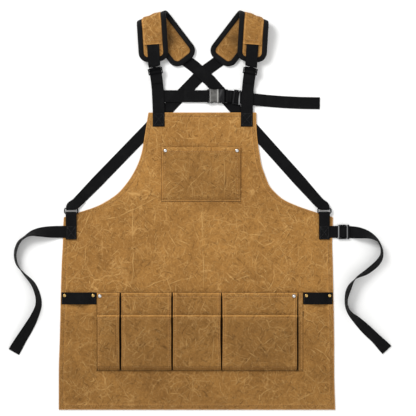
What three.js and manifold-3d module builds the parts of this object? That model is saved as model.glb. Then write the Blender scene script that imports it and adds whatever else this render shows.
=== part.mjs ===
// A waxed canvas tool apron with crossed webbing straps, laid flat with its front up.
// Millimetres. X runs to the right of the front, Y from the hem to the shoulders, Z up off the surface.
// The model is drawn with Y = 0 at the hem and then centred over its own footprint.
import * as THREE from "three";
import { mergeVertices } from "three/addons/utils/BufferGeometryUtils.js";
import Module from "manifold-3d";

const wasm = await Module();
wasm.setup();

// Driving dimensions: cloth and webbing
const bodyLength = 742;
const hemHalfWidth = 345;
const armCorner = 0.647;
const clothWall = 1.5;
const strapWidth = 30;
const strapWall = 1.8;
const seatGap = 0.3;
const foldSlope = 0.5;

// Waist pockets
const panelWidth = 514;
const panelHeight = 98;
const tallPocket = 194;
const shortPocket = 139;
const tallRoom = 6.5;
const shortRoom = 5.6;
const pocketWall = 1.4;
const pocketCrown = 1.2;
const seamRamp = 12;
const gussetLean = 0.6;

// Bib pocket
const bibPocketWidth = 196;
const bibPocketHeight = 134;
const bibPocketDrop = 87;
const bibPocketShift = 3.5;
const bibRoom = 5.4;
const cellShoulder = 4;

// Tool loops and rivets
const loopInset = 1;
const loopFromPanel = 1.5;
const loopHeight = 293;
const loopRoom = 6.5;
const rivetRadius = 4.6;
const rivetRise = 2.2;
const rivetInset = 8;
const rivetMargin = 1.4;

// Side tabs and their loops of plastic
const tabWidth = 27;
const tabLength = 79;
const tabRise = 60;
const tabInset = 20;
const ringBar = 3;
const ringDepth = 15;
const ringPlay = 2.6;
const ringCorner = 5;

// Waist ties
const leftTieReach = 130;
const leftTieDrop = 300;
const rightTieReach = 143;
const rightTieDrop = 295;
const tieDrop = 36;
const sliderRail = 2.4;
const sliderPlay = 0.6;
const sliderBar = 1.8;
const waistSliderLength = 28;

// Shoulder pads
const padWidth = 74;
const frontPad = 122;
const backPad = 148;
const padCorner = 24;
const padCoreHalf = 2.5;
const padSwell = 1;
const bindingWall = 1;
const bindingWidth = 12.8;
const padSpacing = 120.5;
const padRise = 224;
const foldAngle = 20.5;
const padSlant = 16.8;
const padLean = 13;
const coverHem = 48;
const coverWall = 1.2;

// Straps above the bib
const neckCentre = 7.5;
const crossRise = 100;
const strapFoot = 35;
const footSpacing = 110;
const strapSliderRise = 103;
const strapSliderLength = 15;
const tailLength = 30;
const tuckIn = 13;
const tuckClear = 8;
const hemFall = 14;
const padRunOff = 4;

// Chest strap and its side-release buckle
const chestRise = 41;
const buckleJoint = 48;
const femaleLength = 30;
const maleLength = 21.5;
const buckleHalf = 18;
const buckleDepth = 8.4;
const buckleBar = 3;
const buckleSlot = 5;
const shellWall = 1.9;
const cavityHalf = 10.3;
const prongHalf = 9.8;
const prongWidth = 3.8;
const prongReach = 17;
const releaseFrom = 14;
const releaseTo = 4;
const plugInset = 0.6;
const chestSliderLength = 18;
const chestSliderAt = 23;
const chestReach = 232;
const chestDrop = 17.5;
const chestClear = 2;
const chestSag = 7;

// Heights that follow from the layers
const clothTop = clothWall;
const bibLift = strapWall + seatGap;
const bibTop = bibLift + clothWall;
const halfWall = strapWall / 2;
const wrapRadius = ringBar / Math.SQRT2 + seatGap + halfWall;
const chestHeight = strapWall + seatGap + halfWall;
const crossHeight = chestHeight + sliderBar + seatGap;

// Heights up the apron: the ties leave below the corner of the arm curve, and the tabs stand above them
const tieHeight = armCorner * bodyLength - tieDrop;
const tabTop = tieHeight + tabRise;

const canvas = new THREE.MeshStandardMaterial({ color: 0xa67a44, roughness: 0.8, metalness: 0 });
const webbing = new THREE.MeshStandardMaterial({ color: 0x1b1b1c, roughness: 0.85, metalness: 0 });
const binding = new THREE.MeshStandardMaterial({ color: 0x141415, roughness: 0.7, metalness: 0 });
const plastic = new THREE.MeshStandardMaterial({ color: 0x222224, roughness: 0.45, metalness: 0 });
const greyPlastic = new THREE.MeshStandardMaterial({ color: 0x6f7072, roughness: 0.45, metalness: 0 });
const silver = new THREE.MeshStandardMaterial({ color: 0xd8d8d8, roughness: 0.25, metalness: 1 });
const brass = new THREE.MeshStandardMaterial({ color: 0xc79a4b, roughness: 0.3, metalness: 1 });

const apron = new THREE.Group();

function addPiece(name, geometry, material, parent = apron) {
  const piece = new THREE.Mesh(geometry, material);
  piece.name = name;
  parent.add(piece);
  return piece;
}

// Solids for cutting and joining
function asSolid(geometry) {
  const bare = new THREE.BufferGeometry();
  bare.setAttribute("position", geometry.getAttribute("position"));
  bare.setIndex(geometry.getIndex());
  const merged = mergeVertices(bare, 1e-4);
  return new wasm.Manifold(new wasm.Mesh({
    numProp: 3,
    vertProperties: merged.getAttribute("position").array,
    triVerts: new Uint32Array(merged.getIndex().array),
  }));
}

// Corners of a cut that lie closer than shortEdge become one corner, and the faces between them go
const shortEdge = 0.02;

function asGeometry(solid) {
  const mesh = solid.getMesh();
  const cut = new THREE.BufferGeometry();
  cut.setAttribute("position", new THREE.BufferAttribute(new Float32Array(mesh.vertProperties), 3));
  cut.setIndex(new THREE.BufferAttribute(new Uint32Array(mesh.triVerts), 1));
  const geometry = mergeVertices(cut, shortEdge);
  const corners = Array.from(geometry.getIndex().array);
  const kept = [];
  for (let i = 0; i < corners.length; i += 3) {
    const [a, b, c] = corners.slice(i, i + 3);
    if (a !== b && b !== c && c !== a) {
      kept.push(a, b, c);
    }
  }
  geometry.setIndex(kept);
  geometry.computeVertexNormals();
  return geometry;
}

function joined(geometries) {
  return asGeometry(geometries.map(asSolid).reduce((whole, next) => whole.add(next)));
}

function block(from, to) {
  const box = new THREE.BoxGeometry(to[0] - from[0], to[1] - from[1], to[2] - from[2]);
  box.translate((from[0] + to[0]) / 2, (from[1] + to[1]) / 2, (from[2] + to[2]) / 2);
  return box;
}

// A box whose grid of across and along stations is laid out by place(across, along, layer);
// layer is 0 on the underside and 1 on the face.
function bentBox(across, along, place) {
  const columns = across.length - 1;
  const rows = along.length - 1;
  const box = new THREE.BoxGeometry(columns, rows, 1, columns, rows, 1);
  box.translate(columns / 2, rows / 2, 0.5);
  const position = box.getAttribute("position");
  for (let i = 0; i < position.count; i += 1) {
    const column = across[Math.round(position.getX(i))];
    const row = along[Math.round(position.getY(i))];
    const point = place(column, row, Math.round(position.getZ(i)));
    position.setXYZ(i, point.x, point.y, point.z);
  }
  box.computeVertexNormals();
  return box;
}

function interpolate(table, key, column, value) {
  const last = table.length - 1;
  const next = Math.min(Math.max(table.findIndex((row) => row[key] >= value), 1), last);
  const low = table[value > table[last][key] ? last - 1 : next - 1];
  const high = table[value > table[last][key] ? last : next];
  const share = (value - low[key]) / (high[key] - low[key]);
  return THREE.MathUtils.lerp(low[column], high[column], share);
}

function stationList(count) {
  return Array.from({ length: count + 1 }, (_, i) => i / count);
}

// A flat strap through stations of { at, across }: its width lies along across, its face is up.
function ribbon(stations, width, wall = strapWall) {
  const tangents = stations.map((_, i) => {
    const before = stations[Math.max(i - 1, 0)].at;
    const after = stations[Math.min(i + 1, stations.length - 1)].at;
    return after.clone().sub(before).normalize();
  });
  const order = stations.map((_, i) => i);
  return bentBox([-0.5, 0.5], order, (share, i, layer) => {
    const { at, across, narrow = 1 } = stations[i];
    const normal = across.clone().cross(tangents[i]).normalize();
    return at.clone()
      .addScaledVector(across, share * width * narrow)
      .addScaledVector(normal, (layer - 0.5) * wall);
  });
}

// Stations along a plan route, level across, each at its own height
function levelStations(points) {
  return points.map((at, i) => {
    const before = points[Math.max(i - 1, 0)];
    const after = points[Math.min(i + 1, points.length - 1)];
    const heading = new THREE.Vector3(after.x - before.x, after.y - before.y, 0).normalize();
    return { at, across: new THREE.Vector3(heading.y, -heading.x, 0) };
  });
}

// A strap end that passes under a bar, round it and back over the top.
// The route's last point lies under the bar, and the end lies back along the route.
function wrapped(stations, radius, backCount) {
  const last = stations[stations.length - 1];
  const before = stations[stations.length - 2];
  const heading = new THREE.Vector3(last.at.x - before.at.x, last.at.y - before.at.y, 0).normalize();
  const centre = last.at.clone().setZ(last.at.z + radius);
  const steps = 6;
  const turn = [];
  for (let i = 1; i < steps; i += 1) {
    const angle = -Math.PI / 2 + (Math.PI * i) / steps;
    const at = centre.clone().addScaledVector(heading, radius * Math.cos(angle));
    at.z += radius * Math.sin(angle);
    turn.push({ at, across: last.across, narrow: last.narrow });
  }
  const top = last.at.clone().setZ(last.at.z + 2 * radius);
  const overBar = [0, ringBar].map((back) => ({
    ...last,
    at: top.clone().addScaledVector(heading, -back),
  }));
  const over = stations.slice(-1 - backCount, -1).reverse().map((station) => {
    const lie = Math.max(2 * radius - foldSlope * station.at.distanceTo(last.at), strapWall + seatGap);
    return { ...station, at: station.at.clone().setZ(station.at.z + lie) };
  });
  return [...stations, ...turn, ...overBar, ...over];
}

// Apron body: rows from the hem up; left and right are shares of the hem's half width
const bodyRows = [
  { up: 0, left: 1.02, right: 0.98 },
  { up: 0.12, left: 1.02, right: 0.973 },
  { up: 0.24, left: 1.013, right: 0.972 },
  { up: 0.4, left: 1.005, right: 0.966 },
  { up: 0.45, left: 1.002, right: 0.964 },
  { up: 0.5, left: 0.998, right: 0.962 },
  { up: 0.56, left: 0.991, right: 0.958 },
  { up: 0.61, left: 0.988, right: 0.961 },
  { up: armCorner, left: 0.984, right: 0.964 },
  { up: 0.662, left: 0.886, right: 0.857 },
  { up: 0.686, left: 0.737, right: 0.705 },
  { up: 0.706, left: 0.658, right: 0.61 },
  { up: 0.726, left: 0.597, right: 0.556 },
  { up: 0.756, left: 0.538, right: 0.501 },
  { up: 0.787, left: 0.491, right: 0.473 },
  { up: 0.827, left: 0.447, right: 0.444 },
  { up: 0.868, left: 0.418, right: 0.429 },
  { up: 0.905, left: 0.404, right: 0.418 },
  { up: 0.948, left: 0.389, right: 0.41 },
  { up: 1, left: 0.371, right: 0.408 },
];
const liftStart = 0.662;
const liftEnd = 0.706;
const bodyColumns = 14;

// Standing folds of the skirt: across is a share of the row, from and to are shares of the length
const skirtFolds = [
  { across: 0.09, from: 0.42, to: 0.56, height: 2 },
  { across: 0.258, from: 0.41, to: 0.68, height: 3.5 },
  { across: 0.52, from: 0.41, to: 0.69, height: 3 },
  { across: 0.86, from: 0.45, to: 0.63, height: 2.5 },
];
const foldSpread = 0.022;

function underside(up) {
  return bibLift * THREE.MathUtils.clamp((up - liftStart) / (liftEnd - liftStart), 0, 1);
}

function foldHeight(share, up) {
  return skirtFolds.reduce((height, fold) => {
    const along = (up - fold.from) / (fold.to - fold.from);
    const on = share === fold.across && along > 0 && along < 1;
    return height + (on ? fold.height * Math.sin(Math.PI * along) : 0);
  }, 0);
}

const creaseColumns = skirtFolds.flatMap(({ across }) => [across - foldSpread, across, across + foldSpread]);
const plainColumns = stationList(bodyColumns)
  .filter((share) => creaseColumns.every((crease) => Math.abs(share - crease) > foldSpread / 2));
const bodyAcross = [...plainColumns, ...creaseColumns].sort((a, b) => a - b);

function bodyEdge(side, up) {
  const column = side < 0 ? "left" : "right";
  return side * hemHalfWidth * interpolate(bodyRows, "up", column, up);
}

addPiece("apron_body", bentBox(bodyAcross, bodyRows, (share, row, layer) => new THREE.Vector3(
  THREE.MathUtils.lerp(-hemHalfWidth * row.left, hemHalfWidth * row.right, share),
  bodyLength * row.up,
  underside(row.up) + foldHeight(share, row.up) + layer * clothWall,
)), canvas);

// A patch pocket sewn down at its sides and bottom, and open at its top.
// lies(share, up) is the height of what it is sewn to, room(up) the space that it encloses.
function patchPocket({ left, right, bottom, rows, lies, room }) {
  const shares = [0, 0.004, 0.25, 0.5, 0.75, 0.996, 1];
  return bentBox(shares, rows, (share, up, layer) => {
    const side = share < 0.5 ? 1 : -1;
    const edge = share < 0.5 ? left : right;
    const crown = pocketCrown * Math.sin(Math.PI * share) * Math.min(room(up), 1);
    const foot = share === 0 || share === 1;
    const corner = share === shares[1] || share === shares[5];
    const base = lies(share, up) + seatGap;
    if (foot) {
      return new THREE.Vector3(edge + side * (1 - layer) * pocketWall, bottom + up, base);
    }
    const x = corner
      ? edge + side * (gussetLean + (1 - layer) * pocketWall)
      : THREE.MathUtils.lerp(left, right, share);
    const rise = room(up) + (corner ? 0 : crown) + layer * pocketWall;
    return new THREE.Vector3(x, bottom + up, base + rise);
  });
}

// Waist pockets: from and to are shares of the panel's width
const waistPockets = [
  { number: 1, from: 0.002, to: 0.108 },
  { number: 2, from: 0.121, to: 0.361 },
  { number: 3, from: 0.371, to: 0.602 },
  { number: 4, from: 0.61, to: 0.97 },
];
const endStripFrom = 0.977;
const panelLeft = -panelWidth / 2;

function rampRoom(full) {
  return (up) => full * Math.min(up / seamRamp, 1);
}

function tallFace(share, up) {
  const room = rampRoom(tallRoom)(up);
  const crown = pocketCrown * Math.sin(Math.PI * share) * Math.min(room, 1);
  return clothTop + seatGap + room + crown + pocketWall;
}

for (const { number, from, to } of waistPockets) {
  const left = panelLeft + from * panelWidth;
  const right = panelLeft + to * panelWidth;
  addPiece(`pocket_back_${number}`, patchPocket({
    left,
    right,
    bottom: panelHeight,
    rows: [0, seamRamp / 4, seamRamp, shortPocket, tallPocket],
    lies: () => clothTop,
    room: rampRoom(tallRoom),
  }), canvas);
  addPiece(`pocket_front_${number}`, patchPocket({
    left: left + gussetLean,
    right: right - gussetLean,
    bottom: panelHeight,
    rows: [0, seamRamp / 4, seamRamp, shortPocket / 2, shortPocket],
    lies: tallFace,
    room: rampRoom(shortRoom),
  }), canvas);
}

addPiece("pocket_end_strip", block(
  [panelLeft + endStripFrom * panelWidth, panelHeight, clothTop + seatGap],
  [panelLeft + panelWidth, panelHeight + tallPocket, clothTop + seatGap + 2 * pocketWall],
), canvas);

// Bib pocket with a wide cell and two pen cells; a divider is sewn down to the bib
const dividers = [0, 0.63, 0.817, 1];
const bibLeft = bibPocketShift - bibPocketWidth / 2;
const bibBottom = bodyLength - bibPocketDrop - bibPocketHeight;
const bibShares = dividers.slice(1).flatMap((to, i) => {
  const from = dividers[i];
  const shoulder = cellShoulder / bibPocketWidth;
  return [from, from + shoulder, (from + to) / 2, to - shoulder];
});

addPiece("bib_pocket", bentBox(
  [...bibShares, 1],
  [0, seamRamp / 3, seamRamp, bibPocketHeight / 2, bibPocketHeight],
  (share, up, layer) => {
    const sewn = dividers.includes(share);
    const rise = sewn ? 0 : rampRoom(bibRoom)(up);
    return new THREE.Vector3(
      bibLeft + share * bibPocketWidth,
      bibBottom + up,
      bibTop + seatGap + rise + layer * pocketWall,
    );
  },
), canvas);

// Domed rivet heads
function rivet(name, x, y, z, material) {
  const profile = [
    new THREE.Vector2(0, 0),
    new THREE.Vector2(rivetRadius, 0),
    new THREE.Vector2(rivetRadius, rivetRise * 0.3),
    new THREE.Vector2(rivetRadius * 0.72, rivetRise * 0.8),
    new THREE.Vector2(0, rivetRise),
  ];
  const head = new THREE.LatheGeometry(profile, 12);
  head.rotateX(Math.PI / 2);
  const piece = addPiece(name, head, material);
  piece.position.set(x, y, z + seatGap);
}

const bibFace = bibTop + seatGap + rampRoom(bibRoom)(bibPocketHeight) + pocketWall;
const mouthInset = cellShoulder + rivetRadius;
rivet("rivet_bib_left", bibLeft + mouthInset, bibBottom + bibPocketHeight - rivetInset, bibFace, silver);
rivet("rivet_bib_right", bibLeft + bibPocketWidth - mouthInset,
  bibBottom + bibPocketHeight - rivetInset, bibFace, silver);
const cornerPocket = panelLeft + waistPockets[0].from * panelWidth + gussetLean + pocketWall + rivetRadius;
rivet("rivet_waist_left", cornerPocket, panelHeight + tallPocket - rivetInset,
  tallFace(0.25, tallPocket), silver);
const farPocket = panelLeft + waistPockets[3].to * panelWidth - gussetLean - pocketWall - rivetRadius;
rivet("rivet_waist_right", farPocket, panelHeight + tallPocket - rivetInset,
  tallFace(0.25, tallPocket), silver);

// Webbing tool loops that bow off the cloth between their rivets.
// rise is a share of the loop's room, and from is the place between the flat end and the middle.
const loopBow = [
  { from: 0, rise: 0 },
  { from: 0.42, rise: 0.85 },
  { from: 1, rise: 1 },
];
const loopFlat = rivetInset + rivetRadius + rivetMargin;

function bowAt(distance, length) {
  const inward = Math.min(distance, length - distance);
  const from = THREE.MathUtils.clamp((inward - loopFlat) / (length / 2 - loopFlat), 0, 1);
  return loopRoom * interpolate(loopBow, "from", "rise", from);
}

function loopStations(length) {
  const near = loopBow.map(({ from }) => THREE.MathUtils.lerp(loopFlat, length / 2, from));
  const far = near.slice(0, -1).map((distance) => length - distance).reverse();
  return [0, ...near, ...far, length];
}

for (const [word, side] of [["left", -1], ["right", 1]]) {
  const outer = bodyEdge(side, loopHeight / bodyLength) - side * loopInset;
  const inner = side * (panelWidth / 2 + loopFromPanel);
  const left = Math.min(outer, inner);
  const loopLength = Math.abs(outer - inner);
  const bottom = loopHeight - strapWidth;
  const stations = loopStations(loopLength);
  addPiece(`tool_loop_${word}`, bentBox(stations, [0, strapWidth], (along, up, layer) => new THREE.Vector3(
    left + along,
    bottom + up,
    clothTop + seatGap + bowAt(along, loopLength) + layer * strapWall,
  )), webbing);
  for (const [end, x] of [["left", left + rivetInset], ["right", left + loopLength - rivetInset]]) {
    rivet(`rivet_loop_${word}_${end}`, x, loopHeight - rivetInset, clothTop + seatGap + strapWall, brass);
  }
}

// Side tabs: webbing folded through a plastic loop, with its long end sewn over the waist tie
function roundedFrame(width, depth, bar, radius) {
  const frame = new THREE.Shape();
  const hole = new THREE.Path();
  for (const [path, inset] of [[frame, 0], [hole, bar]]) {
    const right = width / 2 - inset;
    const top = depth / 2 - inset;
    const corner = Math.max(radius - inset, 1);
    path.absarc(right - corner, top - corner, corner, 0, Math.PI / 2);
    path.absarc(-right + corner, top - corner, corner, Math.PI / 2, Math.PI);
    path.absarc(-right + corner, -top + corner, corner, Math.PI, 1.5 * Math.PI);
    path.absarc(right - corner, -top + corner, corner, 1.5 * Math.PI, 2 * Math.PI);
    path.closePath();
  }
  frame.holes.push(hole);
  return frame;
}

const ringWidth = tabWidth + 2 * ringBar + ringPlay;
const ringHeight = clothTop + seatGap + halfWall + wrapRadius;
const lowerBar = tabTop - ringDepth + ringBar / 2;
const upperBar = tabTop - ringBar / 2;

function tabCentre(side) {
  return bodyEdge(side, tieHeight / bodyLength) - side * tabInset;
}

for (const [word, side] of [["left", -1], ["right", 1]]) {
  const x = tabCentre(side);
  const ring = new THREE.ExtrudeGeometry(roundedFrame(ringWidth, ringDepth, ringBar, ringCorner), {
    depth: ringBar,
    bevelEnabled: false,
    curveSegments: 4,
  });
  const piece = addPiece(`side_ring_${word}`, ring, plastic);
  piece.position.set(x, (lowerBar + upperBar) / 2, ringHeight - ringBar / 2);

  const lowEnd = tieHeight + strapWidth / 2 + 2 * seatGap;
  const upperLie = clothTop + 2 * seatGap + strapWall + halfWall;
  const lower = [lowEnd, (lowEnd + lowerBar) / 2, lowerBar]
    .map((y) => new THREE.Vector3(x, y, ringHeight - wrapRadius));
  const loop = wrapped(levelStations(lower), wrapRadius, 0);
  const upper = [lowEnd - 2, tabTop - tabLength]
    .map((y) => ({ at: new THREE.Vector3(x, y, upperLie), across: loop[0].across }));
  addPiece(`side_tab_${word}`, ribbon([...loop, ...upper], tabWidth), webbing);
}

// Waist ties: out and down are shares of the tie's reach and drop, roll is the turn off flat in degrees.
// A tie that rolls stands on its lower edge.
const leftTie = [
  { out: -0.07, down: 0, roll: 0 },
  { out: 0.07, down: 0, roll: 0 },
  { out: 0.3, down: 0, roll: 20 },
  { out: 0.51, down: 0.003, roll: 45 },
  { out: 0.67, down: 0.015, roll: 68 },
  { out: 0.79, down: 0.045, roll: 80 },
  { out: 0.9, down: 0.09, roll: 74 },
  { out: 0.965, down: 0.18, roll: 74 },
  { out: 0.93, down: 0.27, roll: 78 },
  { out: 0.81, down: 0.34, roll: 90 },
  { out: 0.625, down: 0.43, roll: 104 },
  { out: 0.53, down: 0.53, roll: 110 },
  { out: 0.52, down: 0.61, roll: 116 },
  { out: 0.595, down: 0.7, roll: 127 },
  { out: 0.72, down: 0.8, roll: 142 },
  { out: 0.865, down: 0.9, roll: 152 },
  { out: 1, down: 1, roll: 178 },
];
const rightTie = [
  { out: -0.07, down: 0, roll: 0 },
  { out: 0.07, down: 0, roll: 0 },
  { out: 0.24, down: 0, roll: 0 },
  { out: 0.37, down: 0.003, roll: 0 },
  { out: 0.52, down: 0.01, roll: 26 },
  { out: 0.72, down: 0.035, roll: 62 },
  { out: 0.845, down: 0.08, roll: 80 },
  { out: 0.905, down: 0.175, roll: 74 },
  { out: 0.855, down: 0.245, roll: 62 },
  { out: 0.665, down: 0.33, roll: 62 },
  { out: 0.445, down: 0.395, roll: 84 },
  { out: 0.33, down: 0.48, roll: 106 },
  { out: 0.28, down: 0.59, roll: 98 },
  { out: 0.325, down: 0.67, roll: 104 },
  { out: 0.48, down: 0.75, roll: 129 },
  { out: 0.645, down: 0.83, roll: 145 },
  { out: 0.84, down: 0.92, roll: 148 },
  { out: 1, down: 1, roll: 178 },
];
const tieSteps = 44;
const tieOnBody = clothTop + seatGap + halfWall;
const tieInSlider = sliderBar + seatGap + halfWall;

function tieStations(table, side, reach, drop) {
  const edge = tabCentre(side) + side * (tabWidth / 2);
  const plan = new THREE.CatmullRomCurve3(table.map(({ out, down, roll }) => new THREE.Vector3(
    edge + side * out * reach,
    tieHeight - down * drop,
    THREE.MathUtils.degToRad(roll),
  )));
  const points = plan.getPoints(tieSteps);
  const flatUntil = edge + side * 0.3 * reach;
  return levelStations(points).map(({ at, across }) => {
    const roll = Math.max(at.z, 0);
    const stand = (strapWidth / 2) * Math.abs(Math.sin(roll)) + halfWall * Math.abs(Math.cos(roll));
    const nearBody = side * (flatUntil - at.x) > 0 && at.y > tieHeight - 1;
    const height = nearBody ? Math.max(stand, side < 0 ? tieOnBody : tieInSlider) : stand;
    const turned = across.clone().multiplyScalar(Math.cos(roll));
    turned.z = side * Math.sin(roll);
    return { at: new THREE.Vector3(at.x, at.y, height), across: turned };
  });
}

addPiece("waist_tie_left", ribbon(tieStations(leftTie, -1, leftTieReach, leftTieDrop), strapWidth), webbing);
const rightTieStations = tieStations(rightTie, 1, rightTieReach, rightTieDrop);
addPiece("waist_tie_right", ribbon(rightTieStations, strapWidth), webbing);

// Adjuster: side rails and two end bars over the webbing, and a middle bar under it
function slider(length, layers) {
  const half = strapWidth / 2 + sliderPlay;
  const outer = half + sliderRail;
  const room = layers * (strapWall + seatGap) + seatGap;
  const top = 2 * sliderBar + room;
  const bar = length / 5;
  return joined([
    block([-length / 2, -outer, 0], [length / 2, -half, top]),
    block([-length / 2, half, 0], [length / 2, outer, top]),
    block([-length / 2, -outer, top - sliderBar], [-length / 2 + bar, outer, top]),
    block([length / 2 - bar, -outer, top - sliderBar], [length / 2, outer, top]),
    block([-bar / 2, -outer, 0], [bar / 2, outer, sliderBar]),
  ]);
}

const waistSlider = addPiece("waist_slider", slider(waistSliderLength, 1), plastic);
waistSlider.position.set(
  tabCentre(1) + tabWidth / 2 + 0.24 * rightTieReach,
  tieHeight,
  0,
);

// Shoulder pads: a padded strip folded over a slanted line.
// In the strip x runs across it and y along it, with y = 0 at the fold; turned by the slant these
// become t, along the fold, and q, round it.
const slant = THREE.MathUtils.degToRad(padSlant);
const lean = THREE.MathUtils.degToRad(padLean);
const fold = THREE.MathUtils.degToRad(foldAngle);
const foldLine = new THREE.Vector3(Math.cos(fold), Math.sin(fold), 0);
const acrossFold = new THREE.Vector3(-Math.sin(fold), Math.cos(fold), 0);
const bindingHalf = padCoreHalf + seatGap + bindingWall;
const backHeight = strapWall + seatGap + bindingHalf;

function padOutline(inset) {
  const half = padWidth / 2 - inset;
  const corner = Math.max(padCorner - inset, 1);
  const front = -frontPad + inset;
  const back = backPad - inset;
  const outline = new THREE.Shape();
  outline.absarc(half - corner, back - corner, corner, 0, Math.PI / 2);
  outline.absarc(-half + corner, back - corner, corner, Math.PI / 2, Math.PI);
  outline.absarc(-half + corner, front + corner, corner, Math.PI, 1.5 * Math.PI);
  outline.absarc(half - corner, front + corner, corner, 1.5 * Math.PI, 2 * Math.PI);
  outline.closePath();
  return outline.getPoints(5).map(({ x, y }) => ({
    t: x * Math.cos(slant) + y * Math.sin(slant),
    q: -x * Math.sin(slant) + y * Math.cos(slant),
  }));
}

function span(outline, q) {
  const hits = [];
  outline.forEach((a, i) => {
    const b = outline[(i + 1) % outline.length];
    if ((a.q - q) * (b.q - q) < 0) {
      hits.push(a.t + ((b.t - a.t) * (q - a.q)) / (b.q - a.q));
    }
  });
  return [Math.min(...hits), Math.max(...hits)];
}

const fullOutline = padOutline(0);
const firstQ = Math.min(...fullOutline.map(({ q }) => q));
const lastQ = Math.max(...fullOutline.map(({ q }) => q));
const arcShare = 1 + Math.cos(lean) + (Math.PI / 2 + lean) * Math.sin(lean);
const frontHeight = backHeight + 2 * bindingHalf + seatGap;
const foldRadius = (-firstQ * Math.sin(lean) + frontHeight - backHeight) / arcShare;
const foldCentre = backHeight + foldRadius;
const arcStart = -foldRadius * (Math.PI / 2 + lean);
const arcEnd = (foldRadius * Math.PI) / 2;

// Position and outward normal of the strip's middle surface at q, in the plane across the fold
function foldSection(q) {
  if (q > arcEnd) {
    return { a: arcEnd - q, z: backHeight, na: 0, nz: -1 };
  }
  const angle = Math.min(-q / foldRadius, Math.PI / 2 + lean);
  const beyond = Math.min(q - arcStart, 0);
  const na = Math.cos(angle);
  const nz = Math.sin(angle);
  return {
    a: foldRadius * na + beyond * Math.cos(lean),
    z: foldCentre + foldRadius * nz + beyond * Math.sin(lean),
    na,
    nz,
  };
}

const padOrigin = new THREE.Vector3(-padSpacing, bodyLength + padRise, 0);

function onPad(t, q, height) {
  const { a, z, na, nz } = foldSection(q);
  return padOrigin.clone()
    .addScaledVector(foldLine, t)
    .addScaledVector(acrossFold, a + na * height)
    .setZ(z + nz * height);
}

// Stations that every layer of a pad shares, so that the layers stay parallel round the fold
const hemRise = firstQ + coverHem + tuckIn + tuckClear;
const hemEnd = hemRise + hemFall;
const foldStations = stationList(9).map((share) => THREE.MathUtils.lerp(arcStart, arcEnd, share));
const endSteps = [1, 3.5, 8, 14, 22, 33];
const padStations = [
  ...endSteps.map((step) => firstQ + step),
  hemRise,
  hemEnd,
  ...foldStations,
  (arcEnd + lastQ) / 2,
  ...endSteps.map((step) => lastQ - step).reverse(),
].sort((a, b) => a - b);

// A layer of the pad between two heights over its middle surface; inner is the inset of a second
// outline that the stations between the edges follow
function padLayer({ inset, inner, shares = [0, 0.5, 1], stations, low, high }) {
  const outline = padOutline(inset);
  const innerOutline = inner ? padOutline(inner) : [];
  const inside = stations.filter((q) => {
    const [from, to] = span(outline, q);
    return to - from > 1;
  });
  return bentBox(shares, inside, (share, q, layer) => {
    const [from, to] = span(outline, q);
    const [innerFrom, innerTo] = span(innerOutline, q);
    const open = innerTo - innerFrom > 1;
    const t = share === 0 || share === 1 || !open
      ? THREE.MathUtils.lerp(from, to, share)
      : THREE.MathUtils.lerp(innerFrom, innerTo, (share - shares[1]) / (1 - 2 * shares[1]));
    const height = layer === 0 ? low(share, q) : high(share, q);
    return onPad(t, q, height);
  });
}

const coreInset = bindingWall + seatGap;
const tuckedAt = firstQ + coverHem;

// The padding swells between the bindings, and flattens before the rounded ends
function swellAt(q) {
  const fromEnd = Math.min(q - firstQ, lastQ - q);
  const [, , , , flatTo, fullFrom] = endSteps;
  return padSwell * THREE.MathUtils.clamp((fromEnd - flatTo) / (fullFrom - flatTo), 0, 1);
}

const padCore = padLayer({
  inset: coreInset,
  inner: bindingWidth,
  shares: [0, 0.2, 0.5, 0.8, 1],
  stations: padStations,
  low: (share, q) => -padCoreHalf - (share === 0.5 ? swellAt(q) : 0),
  high: (share, q) => padCoreHalf + (share === 0.5 ? swellAt(q) : 0),
});

function bindingCut(inset, half) {
  return asSolid(padLayer({ inset, stations: padStations, low: () => -half, high: () => half }));
}

const padEdging = asGeometry(bindingCut(0, bindingHalf)
  .subtract(bindingCut(bindingWall, padCoreHalf + seatGap))
  .subtract(bindingCut(bindingWidth, 2 * bindingHalf)));
const strapOnPad = padCoreHalf + padSwell + bindingWall + 2 * seatGap;

// The outer cover ends in a hem on the front half, where it rises over the tucked strap
const coverEdge = 0.12;

function coverLie(share, q) {
  const swollen = padCoreHalf + seatGap + padSwell * (1 - Math.abs(2 * share - 1));
  const overStrap = strapOnPad + strapWall + seatGap;
  const atEdge = share === 0 || share === 1;
  const lift = atEdge ? 0 : THREE.MathUtils.clamp((hemEnd - q) / (hemEnd - hemRise), 0, 1);
  return THREE.MathUtils.lerp(swollen, overStrap, lift);
}

const padCover = padLayer({
  inset: bindingWidth + seatGap,
  shares: [0, coverEdge, 0.5, 1 - coverEdge, 1],
  stations: [tuckedAt, ...padStations.filter((q) => q > tuckedAt && q < arcEnd * 0.8)],
  low: coverLie,
  high: (share, q) => coverLie(share, q) + coverWall,
});

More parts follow.
